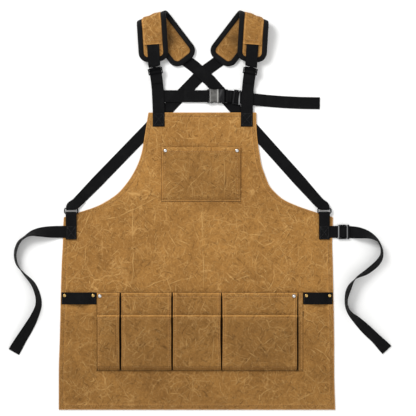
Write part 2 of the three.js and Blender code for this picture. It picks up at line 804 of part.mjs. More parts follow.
// Front straps: from the bib over the chest strap, and up the pad to below the hem of its cover
function frontStrapStations() {
  const alongPad = [tuckIn + coverHem, coverHem, coverHem / 2, hemFall, -padRunOff].map((step) => {
    const q = firstQ + step;
    const t = q * Math.tan(slant);
    const at = onPad(t, q, strapOnPad + halfWall);
    const ahead = onPad(t + Math.cos(slant), q - Math.sin(slant), strapOnPad + halfWall);
    return { at, across: ahead.sub(at).normalize() };
  });
  const end = alongPad[alongPad.length - 1].at;
  const foot = new THREE.Vector3(-footSpacing, bodyLength - strapFoot, bibTop + seatGap + halfWall);
  const overChest = crossHeight + strapWall + seatGap;
  const chestTop = bodyLength + chestRise + strapWidth / 2 + chestClear;
  const sliderTop = bodyLength + strapSliderRise + strapSliderLength / 2;
  const slope = (end.z - overChest) / (end.y - chestTop);
  const free = [
    [sliderTop, overChest + slope * (sliderTop - chestTop)],
    [sliderTop - strapSliderLength, overChest + slope * (sliderTop - strapSliderLength - chestTop)],
    [(sliderTop - strapSliderLength + chestTop) / 2,
      overChest + (slope * (sliderTop - strapSliderLength - chestTop)) / 2],
    [chestTop, overChest],
    [bodyLength + chestRise - strapWidth / 2 - chestClear - chestSag, overChest],
    [bodyLength + 2, foot.z],
    [foot.y, foot.z],
  ].map(([y, z]) => {
    const share = (end.y - y) / (end.y - foot.y);
    return new THREE.Vector3(THREE.MathUtils.lerp(end.x, foot.x, 1 - (1 - share) ** 3), y, z);
  });
  return [...alongPad, ...levelStations([end, ...free]).slice(1)];
}

const strapStations = frontStrapStations();

// Place and directions of the front strap at a height up the apron
function strapFrame(y) {
  const next = strapStations.findIndex(({ at }) => at.y < y);
  const low = strapStations[next];
  const high = strapStations[next - 1];
  const at = high.at.clone().lerp(low.at, (high.at.y - y) / (high.at.y - low.at.y));
  const along = low.at.clone().sub(high.at).normalize();
  const across = low.across.clone().addScaledVector(along, -low.across.dot(along)).normalize();
  const normal = across.clone().cross(along).normalize();
  return { at, along, across, normal };
}

for (const [word, side] of [["left", 1], ["right", -1]]) {
  const shoulder = new THREE.Group();
  shoulder.position.x = neckCentre;
  shoulder.scale.x = side;
  apron.add(shoulder);
  addPiece(`pad_core_${word}`, padCore, canvas, shoulder);
  addPiece(`pad_binding_${word}`, padEdging, binding, shoulder);
  addPiece(`pad_cover_${word}`, padCover, canvas, shoulder);
  addPiece(`front_strap_${word}`, ribbon(strapStations, strapWidth), webbing, shoulder);

  const grip = strapFrame(bodyLength + strapSliderRise);
  const adjuster = addPiece(`strap_slider_${word}`, slider(strapSliderLength, 2), plastic, shoulder);
  const turned = new THREE.Matrix4().makeBasis(grip.along, grip.across.clone().negate(), grip.normal);
  adjuster.setRotationFromMatrix(turned);
  adjuster.position.copy(grip.at.clone().addScaledVector(grip.normal, -halfWall - seatGap - sliderBar));

  const tail = [0, 0.5, 1].map((share) => {
    const { at, across, normal } = strapFrame(bodyLength + strapSliderRise - share * tailLength);
    return { at: at.clone().addScaledVector(normal, strapWall + seatGap), across };
  });
  addPiece(`strap_tail_${word}`, ribbon(tail, strapWidth), webbing, shoulder);
}

// Crossed back straps: the one from the left pad lies over the other.
// Each skews and bunches as it nears its side loop, whose bar lies level.
const approach = 92;
const bunched = 0.84;
const squareFrom = 0.92;
const crossRamp = 14;
const underPad = 0.55;

function backStations(padSide, ringSide, over) {
  const padEnd = onPad(backPad * Math.sin(slant), backPad * Math.cos(slant), 0);
  const exit = new THREE.Vector3(neckCentre - padSide * padEnd.x, padEnd.y, halfWall);
  const cross = new THREE.Vector3(neckCentre, bodyLength + crossRise, halfWall);
  const ring = new THREE.Vector3(tabCentre(ringSide), upperBar, halfWall);
  const reach = strapWidth * 0.9;
  const away = (from, to, distance) => from.clone().lerp(to, distance / from.distanceTo(to));
  const raised = (point) => point.setZ(halfWall + strapWall + seatGap);
  const turn = away(ring, cross, approach);
  const middle = over
    ? [
      away(cross, exit, reach + crossRamp),
      raised(away(cross, exit, reach)),
      raised(away(cross, turn, reach)),
      away(cross, turn, reach + crossRamp),
    ]
    : [cross];
  const straight = levelStations([exit.clone().lerp(cross, -underPad), ...middle, turn]);
  const across = straight[straight.length - 1].across;
  const level = new THREE.Vector3(-1, 0, 0);
  const skewed = [0.2, 0.4, 0.6, 0.8, squareFrom, 1].map((share) => {
    const at = turn.clone().lerp(ring, share);
    at.x = share < squareFrom ? at.x : ring.x;
    at.z = share < 0.8 ? halfWall : ringHeight - wrapRadius;
    return {
      at,
      across: across.clone().lerp(level, share).normalize(),
      narrow: THREE.MathUtils.lerp(1, bunched, share),
    };
  });
  return [...straight, ...skewed];
}

for (const [word, padSide, ringSide] of [["left", -1, 1], ["right", 1, -1]]) {
  const stations = backStations(padSide, ringSide, padSide < 0);
  addPiece(`back_strap_${word}`, ribbon(wrapped(stations, wrapRadius, 3), strapWidth), webbing);
}

// Chest strap and buckle, level across the crossed straps.
// The buckle's halves share a joint plane: the shell to its left, the plug with its prongs to its right.
const chestLine = bodyLength + chestRise;
const barHeight = chestHeight + wrapRadius;
const buckleBase = barHeight - buckleDepth / 2;

function femaleBuckle() {
  const outline = new THREE.Shape();
  outline.moveTo(-femaleLength, -buckleHalf + 1.5);
  outline.quadraticCurveTo(-femaleLength * 0.8, -buckleHalf - 1, -femaleLength * 0.55, -buckleHalf + 1);
  outline.quadraticCurveTo(-femaleLength * 0.3, -buckleHalf + 3, 0, -buckleHalf);
  outline.lineTo(0, buckleHalf);
  outline.quadraticCurveTo(-femaleLength * 0.3, buckleHalf - 3, -femaleLength * 0.55, buckleHalf - 1);
  outline.quadraticCurveTo(-femaleLength * 0.8, buckleHalf + 1, -femaleLength, buckleHalf - 1.5);
  outline.closePath();
  const shell = new THREE.ExtrudeGeometry(outline, { depth: buckleDepth, bevelEnabled: false, curveSegments: 5 });
  const inner = strapWidth / 2 + 0.5;
  const barEnd = -femaleLength + buckleBar;
  const slotEnd = barEnd + buckleSlot;
  const slot = block([barEnd, -inner, -1], [slotEnd, inner, buckleDepth + 1]);
  const barTop = (buckleDepth + buckleBar) / 2;
  const barLow = (buckleDepth - buckleBar) / 2;
  const above = block([-femaleLength - 1, -inner, barTop], [barEnd + 1, inner, buckleDepth + 1]);
  const below = block([-femaleLength - 1, -inner, -1], [barEnd + 1, inner, barLow]);
  const ceiling = buckleDepth - shellWall;
  const cavity = block([slotEnd + shellWall, -cavityHalf, shellWall], [1, cavityHalf, ceiling]);
  const release = block([-releaseFrom, -2 * buckleHalf, shellWall], [-releaseTo, 2 * buckleHalf, ceiling]);
  return asGeometry([slot, above, below, cavity, release]
    .reduce((body, cut) => body.subtract(asSolid(cut)), asSolid(shell)));
}

function maleBuckle() {
  const inner = strapWidth / 2 + 0.5;
  const outer = buckleHalf - 1;
  const barStart = maleLength - buckleBar;
  const low = shellWall + seatGap;
  const high = buckleDepth - shellWall - seatGap;
  const barLow = (buckleDepth - buckleBar) / 2;
  const face = buckleDepth - plugInset;
  const slotStart = barStart - buckleSlot;
  const root = seatGap + 1;
  const catchOut = buckleHalf - 2.5;
  const catchFrom = 1 - releaseFrom;
  const catchTo = -1 - releaseTo;
  return joined([
    block([seatGap, -outer, plugInset], [slotStart, outer, face]),
    block([slotStart - 1, -outer, plugInset], [maleLength, -inner, face]),
    block([slotStart - 1, inner, plugInset], [maleLength, outer, face]),
    block([barStart, -outer, barLow], [maleLength, outer, barLow + buckleBar]),
    block([-prongReach, -prongWidth / 2, low], [root, prongWidth / 2, high]),
    block([-prongReach, -prongHalf, low], [root, prongWidth - prongHalf, high]),
    block([-prongReach, prongHalf - prongWidth, low], [root, prongHalf, high]),
    block([catchFrom, -catchOut, low], [catchTo, 1 - prongHalf, high]),
    block([catchFrom, prongHalf - 1, low], [catchTo, catchOut, high]),
  ]);
}

const female = addPiece("buckle_female", femaleBuckle(), greyPlastic);
female.position.set(buckleJoint, chestLine, buckleBase);
const male = addPiece("buckle_male", maleBuckle(), plastic);
male.position.set(buckleJoint, chestLine, buckleBase);

const barLead = 8;
const strapFall = 26;
const leftEnd = neckCentre - footSpacing - strapWidth / 2;
const femaleBar = buckleJoint - femaleLength + buckleBar / 2;
const chestLeft = [
  [leftEnd, crossHeight],
  [leftEnd + strapWidth + barLead, crossHeight],
  [femaleBar - 2 * strapWidth, chestHeight],
  [femaleBar - 2 * barLead, chestHeight],
  [femaleBar - barLead, chestHeight],
  [femaleBar, chestHeight],
].map(([x, z]) => new THREE.Vector3(x, chestLine, z));
addPiece("chest_strap_left", ribbon(wrapped(levelStations(chestLeft), wrapRadius, 3), strapWidth), webbing);

const sliderX = buckleJoint + maleLength + chestSliderAt;
const maleBar = buckleJoint + maleLength - buckleBar / 2;
const tailSwing = (x) => {
  const share = THREE.MathUtils.clamp((x - maleBar - barLead) / (chestReach - barLead), 0, 1);
  return chestLine - chestDrop * (1 - (1 - share) ** 2);
};
const frontEdge = neckCentre + footSpacing + strapWidth / 2 + barLead;
const chestRight = [
  [maleBar + chestReach, halfWall],
  [maleBar + chestReach * 0.6, halfWall],
  [frontEdge + strapFall, halfWall],
  [frontEdge, crossHeight],
  [sliderX + chestSliderLength / 2, crossHeight],
  [sliderX - chestSliderLength / 2, crossHeight],
  [sliderX - chestSliderLength / 2 - 4, crossHeight - seatGap],
  [maleBar + 6, chestHeight],
  [maleBar, chestHeight],
].map(([x, z]) => new THREE.Vector3(x, tailSwing(x), z));
addPiece("chest_strap_right", ribbon(wrapped(levelStations(chestRight), wrapRadius, 2), strapWidth), webbing);

const chestSlider = addPiece("chest_slider", slider(chestSliderLength, 1), plastic);
chestSlider.position.set(sliderX, tailSwing(sliderX), crossHeight - halfWall - seatGap - sliderBar);
chestSlider.rotation.z = Math.atan2(tailSwing(sliderX + 5) - tailSwing(sliderX - 5), 10);

const box = new THREE.Box3().setFromObject(apron);
apron.position.set(-(box.min.x + box.max.x) / 2, -(box.min.y + box.max.y) / 2, -box.min.z);

export default apron;
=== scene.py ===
"""A waxed canvas tool apron laid flat, with its cloth, webbing, pads and fittings."""

import math

import bpy
import numpy as np
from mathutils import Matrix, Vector
from mathutils.bvhtree import BVHTree


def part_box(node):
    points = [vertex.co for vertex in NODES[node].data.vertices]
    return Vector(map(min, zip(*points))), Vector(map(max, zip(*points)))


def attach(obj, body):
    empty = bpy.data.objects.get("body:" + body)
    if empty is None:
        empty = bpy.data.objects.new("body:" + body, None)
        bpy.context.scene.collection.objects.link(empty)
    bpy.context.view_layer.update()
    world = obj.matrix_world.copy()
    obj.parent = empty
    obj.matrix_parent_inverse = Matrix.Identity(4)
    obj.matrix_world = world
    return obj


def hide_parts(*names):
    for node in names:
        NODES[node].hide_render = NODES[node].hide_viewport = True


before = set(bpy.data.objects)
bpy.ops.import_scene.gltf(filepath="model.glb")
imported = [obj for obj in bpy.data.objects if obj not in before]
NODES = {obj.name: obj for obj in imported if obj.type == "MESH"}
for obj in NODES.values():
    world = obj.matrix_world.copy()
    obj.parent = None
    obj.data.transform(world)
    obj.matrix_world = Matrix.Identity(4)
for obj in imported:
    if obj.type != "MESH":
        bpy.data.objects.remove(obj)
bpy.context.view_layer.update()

# Sizes in millimetres, the same as in the solids
BODY_LENGTH = 742.0
HEM_HALF = 345.0
CLOTH = 1.5
STRAP_WIDTH = 30.0
STRAP_WALL = 1.8
GAP = 0.3
HALF_WALL = STRAP_WALL / 2
PANEL_WIDTH = 514.0
PANEL_HEIGHT = 98.0
TALL = 194.0
SHORT = 139.0
TALL_ROOM = 6.5
SHORT_ROOM = 5.6
POCKET_WALL = 1.4
CROWN = 1.2
SEAM_RAMP = 12.0
HEM = 12.5
BIB_WIDTH = 196.0
BIB_HEIGHT = 134.0
BIB_DROP = 87.0
BIB_SHIFT = 3.5
BIB_ROOM = 5.4
BIB_LIFT = STRAP_WALL + GAP
BIB_TOP = BIB_LIFT + CLOTH
RING_BAR = 3.0
WRAP_RADIUS = RING_BAR / math.sqrt(2) + GAP + HALF_WALL
ARM_CORNER = 0.647
TIE_HEIGHT = ARM_CORNER * BODY_LENGTH - 36.0
TAB_TOP = TIE_HEIGHT + 60.0
TAB_WIDTH = 27.0
TAB_LENGTH = 79.0
TAB_INSET = 20.0
RING_DEPTH = 15.0
LOOP_TOP = 293.0
NECK_CENTRE = 7.5
FOOT_SPACING = 110.0
CHEST_HEIGHT = STRAP_WALL + GAP + HALF_WALL
CROSS_HEIGHT = CHEST_HEIGHT + 1.8 + GAP

body_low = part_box("apron_body")[0]
ORIGIN = np.array([body_low.x * 1000 + HEM_HALF * 1.02, body_low.y * 1000, 0.0])


def metres(points):
    """Points drawn with their zero at the middle of the hem, in the row frame in metres."""
    return (np.asarray(points, float).reshape(-1, 3) + ORIGIN) / 1000


def unit(v):
    v = np.asarray(v, float)
    return v / np.maximum(np.linalg.norm(v, axis=-1, keepdims=True), 1e-12)


def lengths_along(points):
    """How far along a line each of its points lies."""
    return np.concatenate([[0], np.cumsum(np.linalg.norm(np.diff(points, axis=0), axis=1))])


def smooth(x):
    x = np.clip(x, 0, 1)
    return x * x * (3 - 2 * x)


def bell(off, width):
    """1 where off is 0, fading to both sides over the width."""
    return np.exp(-((off / width) ** 2))


def eased(keys, values):
    """A curve through a table that never overshoots it."""
    keys, values = np.asarray(keys, float), np.asarray(values, float)
    step = np.diff(keys)
    slope = np.diff(values) / step
    tangent = np.zeros(len(keys))
    tangent[0], tangent[-1] = slope[0], slope[-1]
    for i in range(1, len(keys) - 1):
        if slope[i - 1] * slope[i] > 0:
            tangent[i] = 2 * slope[i - 1] * slope[i] / (slope[i - 1] + slope[i])

    def at(x):
        x = np.clip(np.asarray(x, float), keys[0], keys[-1])
        i = np.clip(np.searchsorted(keys, x) - 1, 0, len(step) - 1)
        h = step[i]
        t = (x - keys[i]) / h
        return (
            (1 + 2 * t) * (1 - t) ** 2 * values[i]
            + t * (1 - t) ** 2 * h * tangent[i]
            + t * t * (3 - 2 * t) * values[i + 1]
            + t * t * (t - 1) * h * tangent[i + 1]
        )

    return at


# The picture's frame: millimetres to a pixel, and the pixel at the middle of the hem
PIXEL = 2.5
HEM_MIDDLE = (199.75, 409.5)


def page(px, py):
    """A place on the apron from its place in the picture's frame."""
    return (px - HEM_MIDDLE[0]) * PIXEL, (HEM_MIDDLE[1] - py) * PIXEL


# Creases through places on the picture's frame, painted on the canvas: pale ones show the bare thread, dark
# ones are painted shade
BODY_CREASES = [
    {"pale": 1.0, "through": [(132.5, 206), (132.7, 245), (133, 284)]},
    {"pale": 1.0, "through": [(202, 204), (203, 246), (203.5, 289)]},
    {"pale": 0.9, "through": [(141, 206), (118, 216.5), (105, 220)]},
    {"pale": 0.8, "through": [(119.5, 249), (111.5, 257)]},
    {"pale": 0.9, "through": [(168.5, 233), (177, 247)]},
    {"pale": 0.9, "through": [(176, 239.5), (190.6, 245)]},
    {"pale": 0.9, "through": [(176.5, 225.5), (185.5, 231.5)]},
    {"pale": 0.8, "through": [(194.5, 231), (198.5, 239.5)]},
    {"pale": 0.9, "through": [(144, 288), (164, 280)]},
    {"pale": 0.9, "through": [(165.4, 277.5), (172.3, 291)]},
    {"pale": 0.9, "through": [(168.5, 285), (183, 279), (194, 277)]},
    {"pale": 0.9, "through": [(119.5, 281.5), (131.7, 288)]},
    {"pale": 0.8, "through": [(127.5, 280.5), (132.5, 290)]},
    {"pale": 0.7, "through": [(154.7, 224), (155.6, 209)]},
    {"pale": 0.7, "through": [(186, 247.5), (182.5, 256)]},
    {"pale": 0.9, "through": [(275.8, 203), (279.6, 215), (285, 216)]},
    {"pale": 0.8, "through": [(292.9, 213), (297.2, 223)]},
    {"pale": 0.9, "through": [(257, 219.5), (266, 229)]},
    {"pale": 0.8, "through": [(289, 227.5), (281.5, 235.3)]},
    {"pale": 1.0, "through": [(240, 230), (248, 234.2), (263.5, 235.4)]},
    {"pale": 1.0, "through": [(255.5, 240), (264.7, 246.4), (274, 241.8)]},
    {"pale": 0.8, "through": [(225, 243.6), (236.5, 247.8)]},
    {"pale": 0.8, "through": [(243.5, 254.3), (250.5, 251)]},
    {"pale": 0.9, "through": [(259.9, 250), (254.6, 264.5)]},
    {"pale": 0.8, "through": [(261, 252.3), (268.5, 262)]},
    {"pale": 0.9, "through": [(298, 260.3), (305, 255)]},
    {"pale": 0.8, "through": [(329, 256), (325, 267.5)]},
    {"pale": 0.9, "through": [(237.5, 280), (249.6, 275.8)]},
    {"pale": 1.0, "through": [(274.3, 280.5), (266.8, 291)]},
    {"pale": 0.7, "through": [(273.8, 267), (273.8, 281)]},
    {"pale": 0.8, "through": [(224, 225), (240.4, 222.6)]},
    {"pale": 0.7, "through": [(278, 246.4), (285, 254), (287.4, 265)]},
    {"pale": 0.9, "through": [(89.6, 217), (84, 226), (77.8, 239.8), (70, 253.5)]},
    {"pale": 0.7, "through": [(86, 241), (85.3, 272)]},
    {"pale": 0.8, "through": [(72, 339), (66, 346.7)]},
    {"pale": 0.9, "through": [(81.6, 360), (86.4, 367)]},
    {"pale": 0.8, "through": [(63, 378), (70.8, 386)]},
    {"pale": 0.8, "through": [(87, 316), (81, 323.6)]},
    {"pale": 0.8, "through": [(304, 310.5), (312.8, 315.8)]},
    {"pale": 1.0, "through": [(318.8, 319.2), (325, 325.6)]},
    {"pale": 1.0, "through": [(314, 347.5), (324.3, 353.6), (330.3, 361.5)]},
    {"pale": 0.8, "through": [(329.4, 345), (324.7, 354.2)]},
    {"pale": 0.8, "through": [(317.4, 364.8), (324.8, 375.6)]},
    {"pale": 0.9, "through": [(315.4, 391.5), (295.5, 401.8)]},
    {"pale": 0.9, "through": [(272.3, 387.5), (257.3, 397)]},
    {"pale": 0.9, "through": [(112.3, 383), (105.2, 389.2)]},
    {"pale": 0.8, "through": [(122.7, 388.8), (131.4, 400.7)]},
    {"pale": 0.7, "through": [(105.2, 388.8), (113, 403)]},
    {"pale": 0.8, "through": [(170, 393.2), (179, 392.6), (185, 399.2)]},
    {"pale": 0.6, "through": [(192.9, 371.5), (192.9, 402)]},
    {"pale": 0.7, "through": [(196, 380.7), (211.8, 382.2)]},
    {"pale": 0.8, "through": [(148, 122), (156, 133), (158, 146)]},
    {"pale": 0.7, "through": [(198, 116), (199.5, 134)]},
    {"pale": 0.8, "through": [(176, 132), (184, 139), (199, 138)]},
    {"pale": 0.9, "through": [(131, 211), (146, 203), (156, 197.5)]},
    {"dark": 0.6, "through": [(280, 377.7), (296, 373.2)]},
    {"dark": 0.6, "through": [(305, 392.3), (298, 398)]},
    {"dark": 0.5, "through": [(262, 398.7), (269, 401)]},
]
# Creases of the pockets, painted the same way: pale ones show the bare thread, dark ones are painted shade
POCKET_LINES = [
    {"pale": 1.0, "through": [(146.4, 325.5), (138.5, 336.7), (136, 343.5)]},
    {"pale": 0.8, "through": [(135.7, 300), (132.2, 312)]},
    {"pale": 0.8, "through": [(143.6, 353), (135.8, 359.3)]},
    {"pale": 0.8, "through": [(205.4, 299), (200.2, 312)]},
    {"pale": 0.8, "through": [(186.8, 336), (186.8, 348)]},
    {"pale": 0.8, "through": [(195.2, 336), (195.2, 346.6)]},
    {"pale": 0.7, "through": [(112, 344), (109.3, 355.6)]},
    {"pale": 0.8, "through": [(125, 333), (126.4, 350)]},
    {"pale": 0.8, "through": [(117.6, 317), (118.4, 342), (118.8, 367)]},
    {"dark": 0.75, "through": [(115.6, 316), (116.4, 342), (117.4, 368)]},
    {"pale": 1.0, "through": [(266, 318.6), (268.4, 321.8), (272.6, 318.8)]},
    {"pale": 1.0, "through": [(255.8, 335.2), (263, 343.8), (271.4, 337.8)]},
    {"dark": 0.6, "through": [(263.7, 345), (264, 357.5)]},
    {"dark": 0.5, "through": [(259.4, 322.5), (263, 335)]},
    {"pale": 0.9, "through": [(275, 334.8), (279.3, 338)]},
    {"pale": 0.8, "through": [(284, 336.2), (292, 335)]},
    {"pale": 0.7, "through": [(223.4, 334.2), (231.4, 336.2)]},
    {"pale": 0.9, "through": [(248, 351.6), (257, 357.2)]},
    {"pale": 0.9, "through": [(252, 355), (244, 363.6)]},
    {"dark": 0.6, "through": [(278.2, 301.4), (288.2, 306)]},
    {"dark": 0.5, "through": [(132.5, 300), (130.8, 311)]},
    {"pale": 0.8, "through": [(213.2, 336), (213, 361)]},
    {"pale": 0.8, "through": [(187, 190), (197, 178), (205, 171)]},
    {"pale": 0.7, "through": [(167, 199), (172, 190), (178, 186)]},
    {"pale": 0.7, "through": [(192, 181), (193, 198)]},
    {"pale": 0.7, "through": [(224.5, 152), (224.3, 198)]},
    {"pale": 0.7, "through": [(229, 184), (237, 178)]},
    {"dark": 0.4, "through": [(226.4, 178), (226.2, 190)]},
]


# Materials


class Nodes:
    """Adds and links the nodes of one material."""

    def __init__(self, name):
        self.material = bpy.data.materials.new(name)
        self.material.use_nodes = True
        self.tree = self.material.node_tree
        self.shader = self.tree.nodes["Principled BSDF"]

    def add(self, kind, inputs=None, **settings):
        node = self.tree.nodes.new(kind)
        for key, value in settings.items():
            setattr(node, key, value)
        for key, value in (inputs or {}).items():
            self.feed(node.inputs[key], value)
        return node

    def feed(self, socket, value):
        if isinstance(value, bpy.types.NodeSocket):
            self.tree.links.new(value, socket)
        else:
            socket.default_value = value

    def math(self, operation, a, b=0.0, c=0.0):
        node = self.add("ShaderNodeMath", {0: a, 1: b, 2: c}, operation=operation)
        return node.outputs[0]

    def span(self, value, low, high, to_low=0.0, to_high=1.0):
        inputs = {"Value": value, "From Min": low, "From Max": high, "To Min": to_low, "To Max": to_high}
        return self.add("ShaderNodeMapRange", inputs, clamp=True).outputs[0]

    def times(self, a, b):
        return self.math("MULTIPLY", a, b)

    def plus(self, a, b):
        return self.math("ADD", a, b)

    def most(self, a, b):
        return self.math("MAXIMUM", a, b)

    def wave(self, value, period):
        return self.math("SINE", self.times(value, 2 * math.pi / period))

    def place(self, kind="Object"):
        return self.add("ShaderNodeTexCoord").outputs[kind]

    def split(self, vector):
        """The first two parts of a vector."""
        parts = self.add("ShaderNodeSeparateXYZ", {0: vector}).outputs
        return parts[0], parts[1]

    def vector(self, operation, a, b):
        return self.add("ShaderNodeVectorMath", {0: a, 1: b}, operation=operation).outputs[0]

    def nudged(self, place, scale, detail, amount):
        """Places moved about by a noise."""
        shift = self.vector("ADD", self.noise(place, scale, detail)["Color"], (-0.5, -0.5, -0.5))
        shift = self.add("ShaderNodeVectorMath", {0: shift, "Scale": amount}, operation="SCALE").outputs[0]
        return self.vector("ADD", place, shift)

    def between(self, value, low, high, soft):
        """A band from low to high with soft edges."""
        rise = self.span(value, low - soft, low + soft)
        return self.times(rise, self.span(value, high - soft, high + soft, 1.0, 0.0))

    def mix(self, factor, a, b):
        node = self.add("ShaderNodeMix", data_type="RGBA")
        self.feed(node.inputs[0], factor)
        self.feed(node.inputs[6], a)
        self.feed(node.inputs[7], b)
        return node.outputs[2]

    def noise(self, vector, scale, detail=3.0, rough=0.55):
        inputs = {"Vector": vector, "Scale": scale, "Detail": detail, "Roughness": rough}
        return self.add("ShaderNodeTexNoise", inputs).outputs

    def edges(self, vector, scale, width):
        inputs = {"Vector": vector, "Scale": scale}
        cells = self.add("ShaderNodeTexVoronoi", inputs, feature="DISTANCE_TO_EDGE")
        return self.span(cells.outputs["Distance"], 0.0, width, 1.0, 0.0)

    def bump(self, height, distance, strength=1.0, under=None):
        inputs = {"Height": height, "Distance": distance, "Strength": strength}
        if under is not None:
            inputs["Normal"] = under
        return self.add("ShaderNodeBump", inputs).outputs[0]

    def attribute(self, name):
        return self.add("ShaderNodeAttribute", attribute_name=name).outputs["Fac"]

    def finish(self, colour, roughness, normal=None, **fixed):
        self.feed(self.shader.inputs["Base Color"], colour)
        self.feed(self.shader.inputs["Roughness"], roughness)
        if normal is not None:
            self.feed(self.shader.inputs["Normal"], normal)
        for key, value in fixed.items():
            self.shader.inputs[key.replace("_", " ")].default_value = value
        return self.material


def linear(red, green, blue):
    """A screen colour from 0 to 255 as a shader colour."""
    shares = [c / 255 for c in (red, green, blue)]
    return (*(((c + 0.055) / 1.055) ** 2.4 if c > 0.04045 else c / 12.92 for c in shares), 1.0)


def dark_place(n, x, y, box):
    """A soft-edged box on the canvas, in millimetres, where little light reaches it."""
    soft = 0.0004
    low, high = metres([(box["x"][0], box["y"][0], 0), (box["x"][1], box["y"][1], 0)])
    across, along = (n.between(axis, low[k], high[k], soft) for k, axis in enumerate((x, y)))
    return n.times(n.times(across, along), box["dark"])


def crease_lines(n, place, rows, key):
    """Thin tapering marks along the creases of a table; each leg is a flat ellipse.

    A leg's place takes in the marks so far, far too little to move it, so that the legs are worked out
    in turn.
    """
    bent = n.nudged(place, 38.0, 2.0, 0.009)
    total = None
    for row in rows:
        if key not in row:
            continue
        corners = metres([(*page(*corner), 0) for corner in row["through"]])
        for start, end in zip(corners[:-1], corners[1:]):
            run = end - start
            reach = np.hypot(run[0], run[1]) / 2
            inputs = {
                "Vector": bent,
                "Location": tuple(((start + end) / 2).tolist()),
                "Rotation": (0, 0, math.atan2(run[1], run[0])),
                "Scale": (float(reach + 0.003), 0.0014, 1000.0),
            }
            if total is not None:
                turn = {0: total, 1: (0.0, 0.0, 0.001), 2: bent}
                inputs["Vector"] = n.add("ShaderNodeVectorMath", turn, operation="MULTIPLY_ADD").outputs[0]
            local = n.add("ShaderNodeMapping", inputs, vector_type="TEXTURE").outputs[0]
            away = n.add("ShaderNodeVectorMath", {0: local}, operation="LENGTH").outputs["Value"]
            mark = n.span(away, 0.3, 1.1, row[key], 0.0)
            total = mark if total is None else n.most(total, mark)
    return total


def waxed_canvas(name, boxes=(), creases=()):
    n = Nodes(name)
    place = n.place()
    bent = n.nudged(place, 9.0, 3.0, 0.055)

    def scratches(turn, length, width, low, high):
        inputs = {"Vector": bent, "Rotation": (0, 0, turn), "Scale": (length, width, 0.05)}
        run = n.add("ShaderNodeMapping", inputs, vector_type="TEXTURE").outputs[0]
        return n.span(n.noise(run, 1.0, 2.0, 0.6)["Fac"], low, high)

    patches = n.noise(place, 5.0, 4.0, 0.6)["Fac"]
    cloudy = n.noise(bent, 27.0, 4.0, 0.6)["Fac"]
    flecks = n.noise(place, 120.0, 3.0, 0.7)["Fac"]
    grain = n.noise(place, 300.0, 2.0, 0.7)["Fac"]
    tone = n.plus(n.span(patches, 0.36, 0.64, 0.0, 0.45), n.span(cloudy, 0.36, 0.64, 0.0, 0.3))
    tone = n.plus(tone, n.span(flecks, 0.34, 0.66, 0.0, 0.35))
    colour = n.mix(n.span(tone, 0.0, 1.1), linear(134, 92, 42), linear(186, 135, 70))
    colour = n.mix(n.span(grain, 0.35, 0.7, 0.0, 0.45), colour, linear(120, 82, 38))
    specks = n.times(n.span(n.noise(place, 210.0, 1.0)["Fac"], 0.64, 0.74), 0.6)

    here = n.span(n.noise(place, 12.0, 3.0)["Fac"], 0.42, 0.58)
    there = n.span(n.noise(place, 15.0, 3.0)["Fac"], 0.44, 0.58)
    streaks = n.times(scratches(0.65, 0.03, 0.0042, 0.6, 0.68), here)
    streaks = n.most(streaks, n.times(scratches(2.3, 0.026, 0.004, 0.6, 0.68), there))
    streaks = n.most(streaks, n.times(scratches(1.5, 0.03, 0.0036, 0.62, 0.7), 0.8))
    streaks = n.most(streaks, n.times(scratches(2.9, 0.02, 0.0034, 0.62, 0.7), 0.7))
    dents_and_crease_shade = n.most(scratches(1.1, 0.026, 0.004, 0.62, 0.72), scratches(2.6, 0.022, 0.004, 0.62, 0.72))
    mask_long = n.span(n.noise(place, 13.0, 2.0)["Fac"], 0.46, 0.56)
    mask_short = n.span(n.noise(place, 25.0, 2.0)["Fac"], 0.46, 0.56)
    long_lines = n.times(n.edges(bent, 17.0, 0.022), mask_long)
    short_lines = n.times(n.edges(bent, 42.0, 0.05), mask_short)
    crackle = n.most(n.times(long_lines, 0.9), n.times(short_lines, 0.8))
    crackle = n.most(n.most(crackle, streaks), specks)
    crackle = n.times(crackle, n.span(n.noise(place, 150.0, 2.0)["Fac"], 0.34, 0.6, 0.3, 1.0))
    if creases:
        crackle = n.most(crackle, crease_lines(n, place, creases, "pale"))
        dents_and_crease_shade = n.most(dents_and_crease_shade, crease_lines(n, place, creases, "dark"))
    relief = n.math("SUBTRACT", crackle, dents_and_crease_shade)
    # Painted shade: the dents and the dark creases darken the colour in their hollows
    colour = n.mix(n.times(dents_and_crease_shade, 0.5), colour, linear(96, 62, 26))
    colour = n.mix(n.times(crackle, 0.72), colour, linear(214, 168, 104))

    wear = n.times(n.attribute("wear"), n.span(n.noise(place, 90.0, 3.0)["Fac"], 0.3, 0.62, 0.45, 1.0))
    colour = n.mix(wear, colour, linear(208, 152, 84))
    # Painted shade along the seams and in their grooves
    colour = n.mix(n.attribute("seam_shade"), colour, linear(78, 50, 24))
    colour = n.mix(n.attribute("shade"), colour, linear(6, 4, 2))

    x, y = (n.add("ShaderNodeSeparateXYZ", {0: place}).outputs[i] for i in (0, 1))
    if boxes:
        dark = dark_place(n, x, y, boxes[0])
        for box in boxes[1:]:
            dark = n.most(dark, dark_place(n, x, y, box))
        colour = n.mix(dark, colour, linear(8, 5, 3))
    warp_threads = n.wave(x, 0.0011)
    weft_threads = n.wave(y, 0.0012)
    weave = n.times(warp_threads, weft_threads)
    normal = n.bump(relief, 0.0011, 0.8)
    normal = n.bump(n.noise(bent, 34.0, 4.0)["Fac"], 0.005, 0.7, normal)
    normal = n.bump(weave, 0.00012, 0.6, normal)
    rough = n.plus(n.span(patches, 0.3, 0.7, 0.56, 0.7), n.times(crackle, 0.12))
    return n.finish(colour, rough, normal, Specular_IOR_Level=0.12)


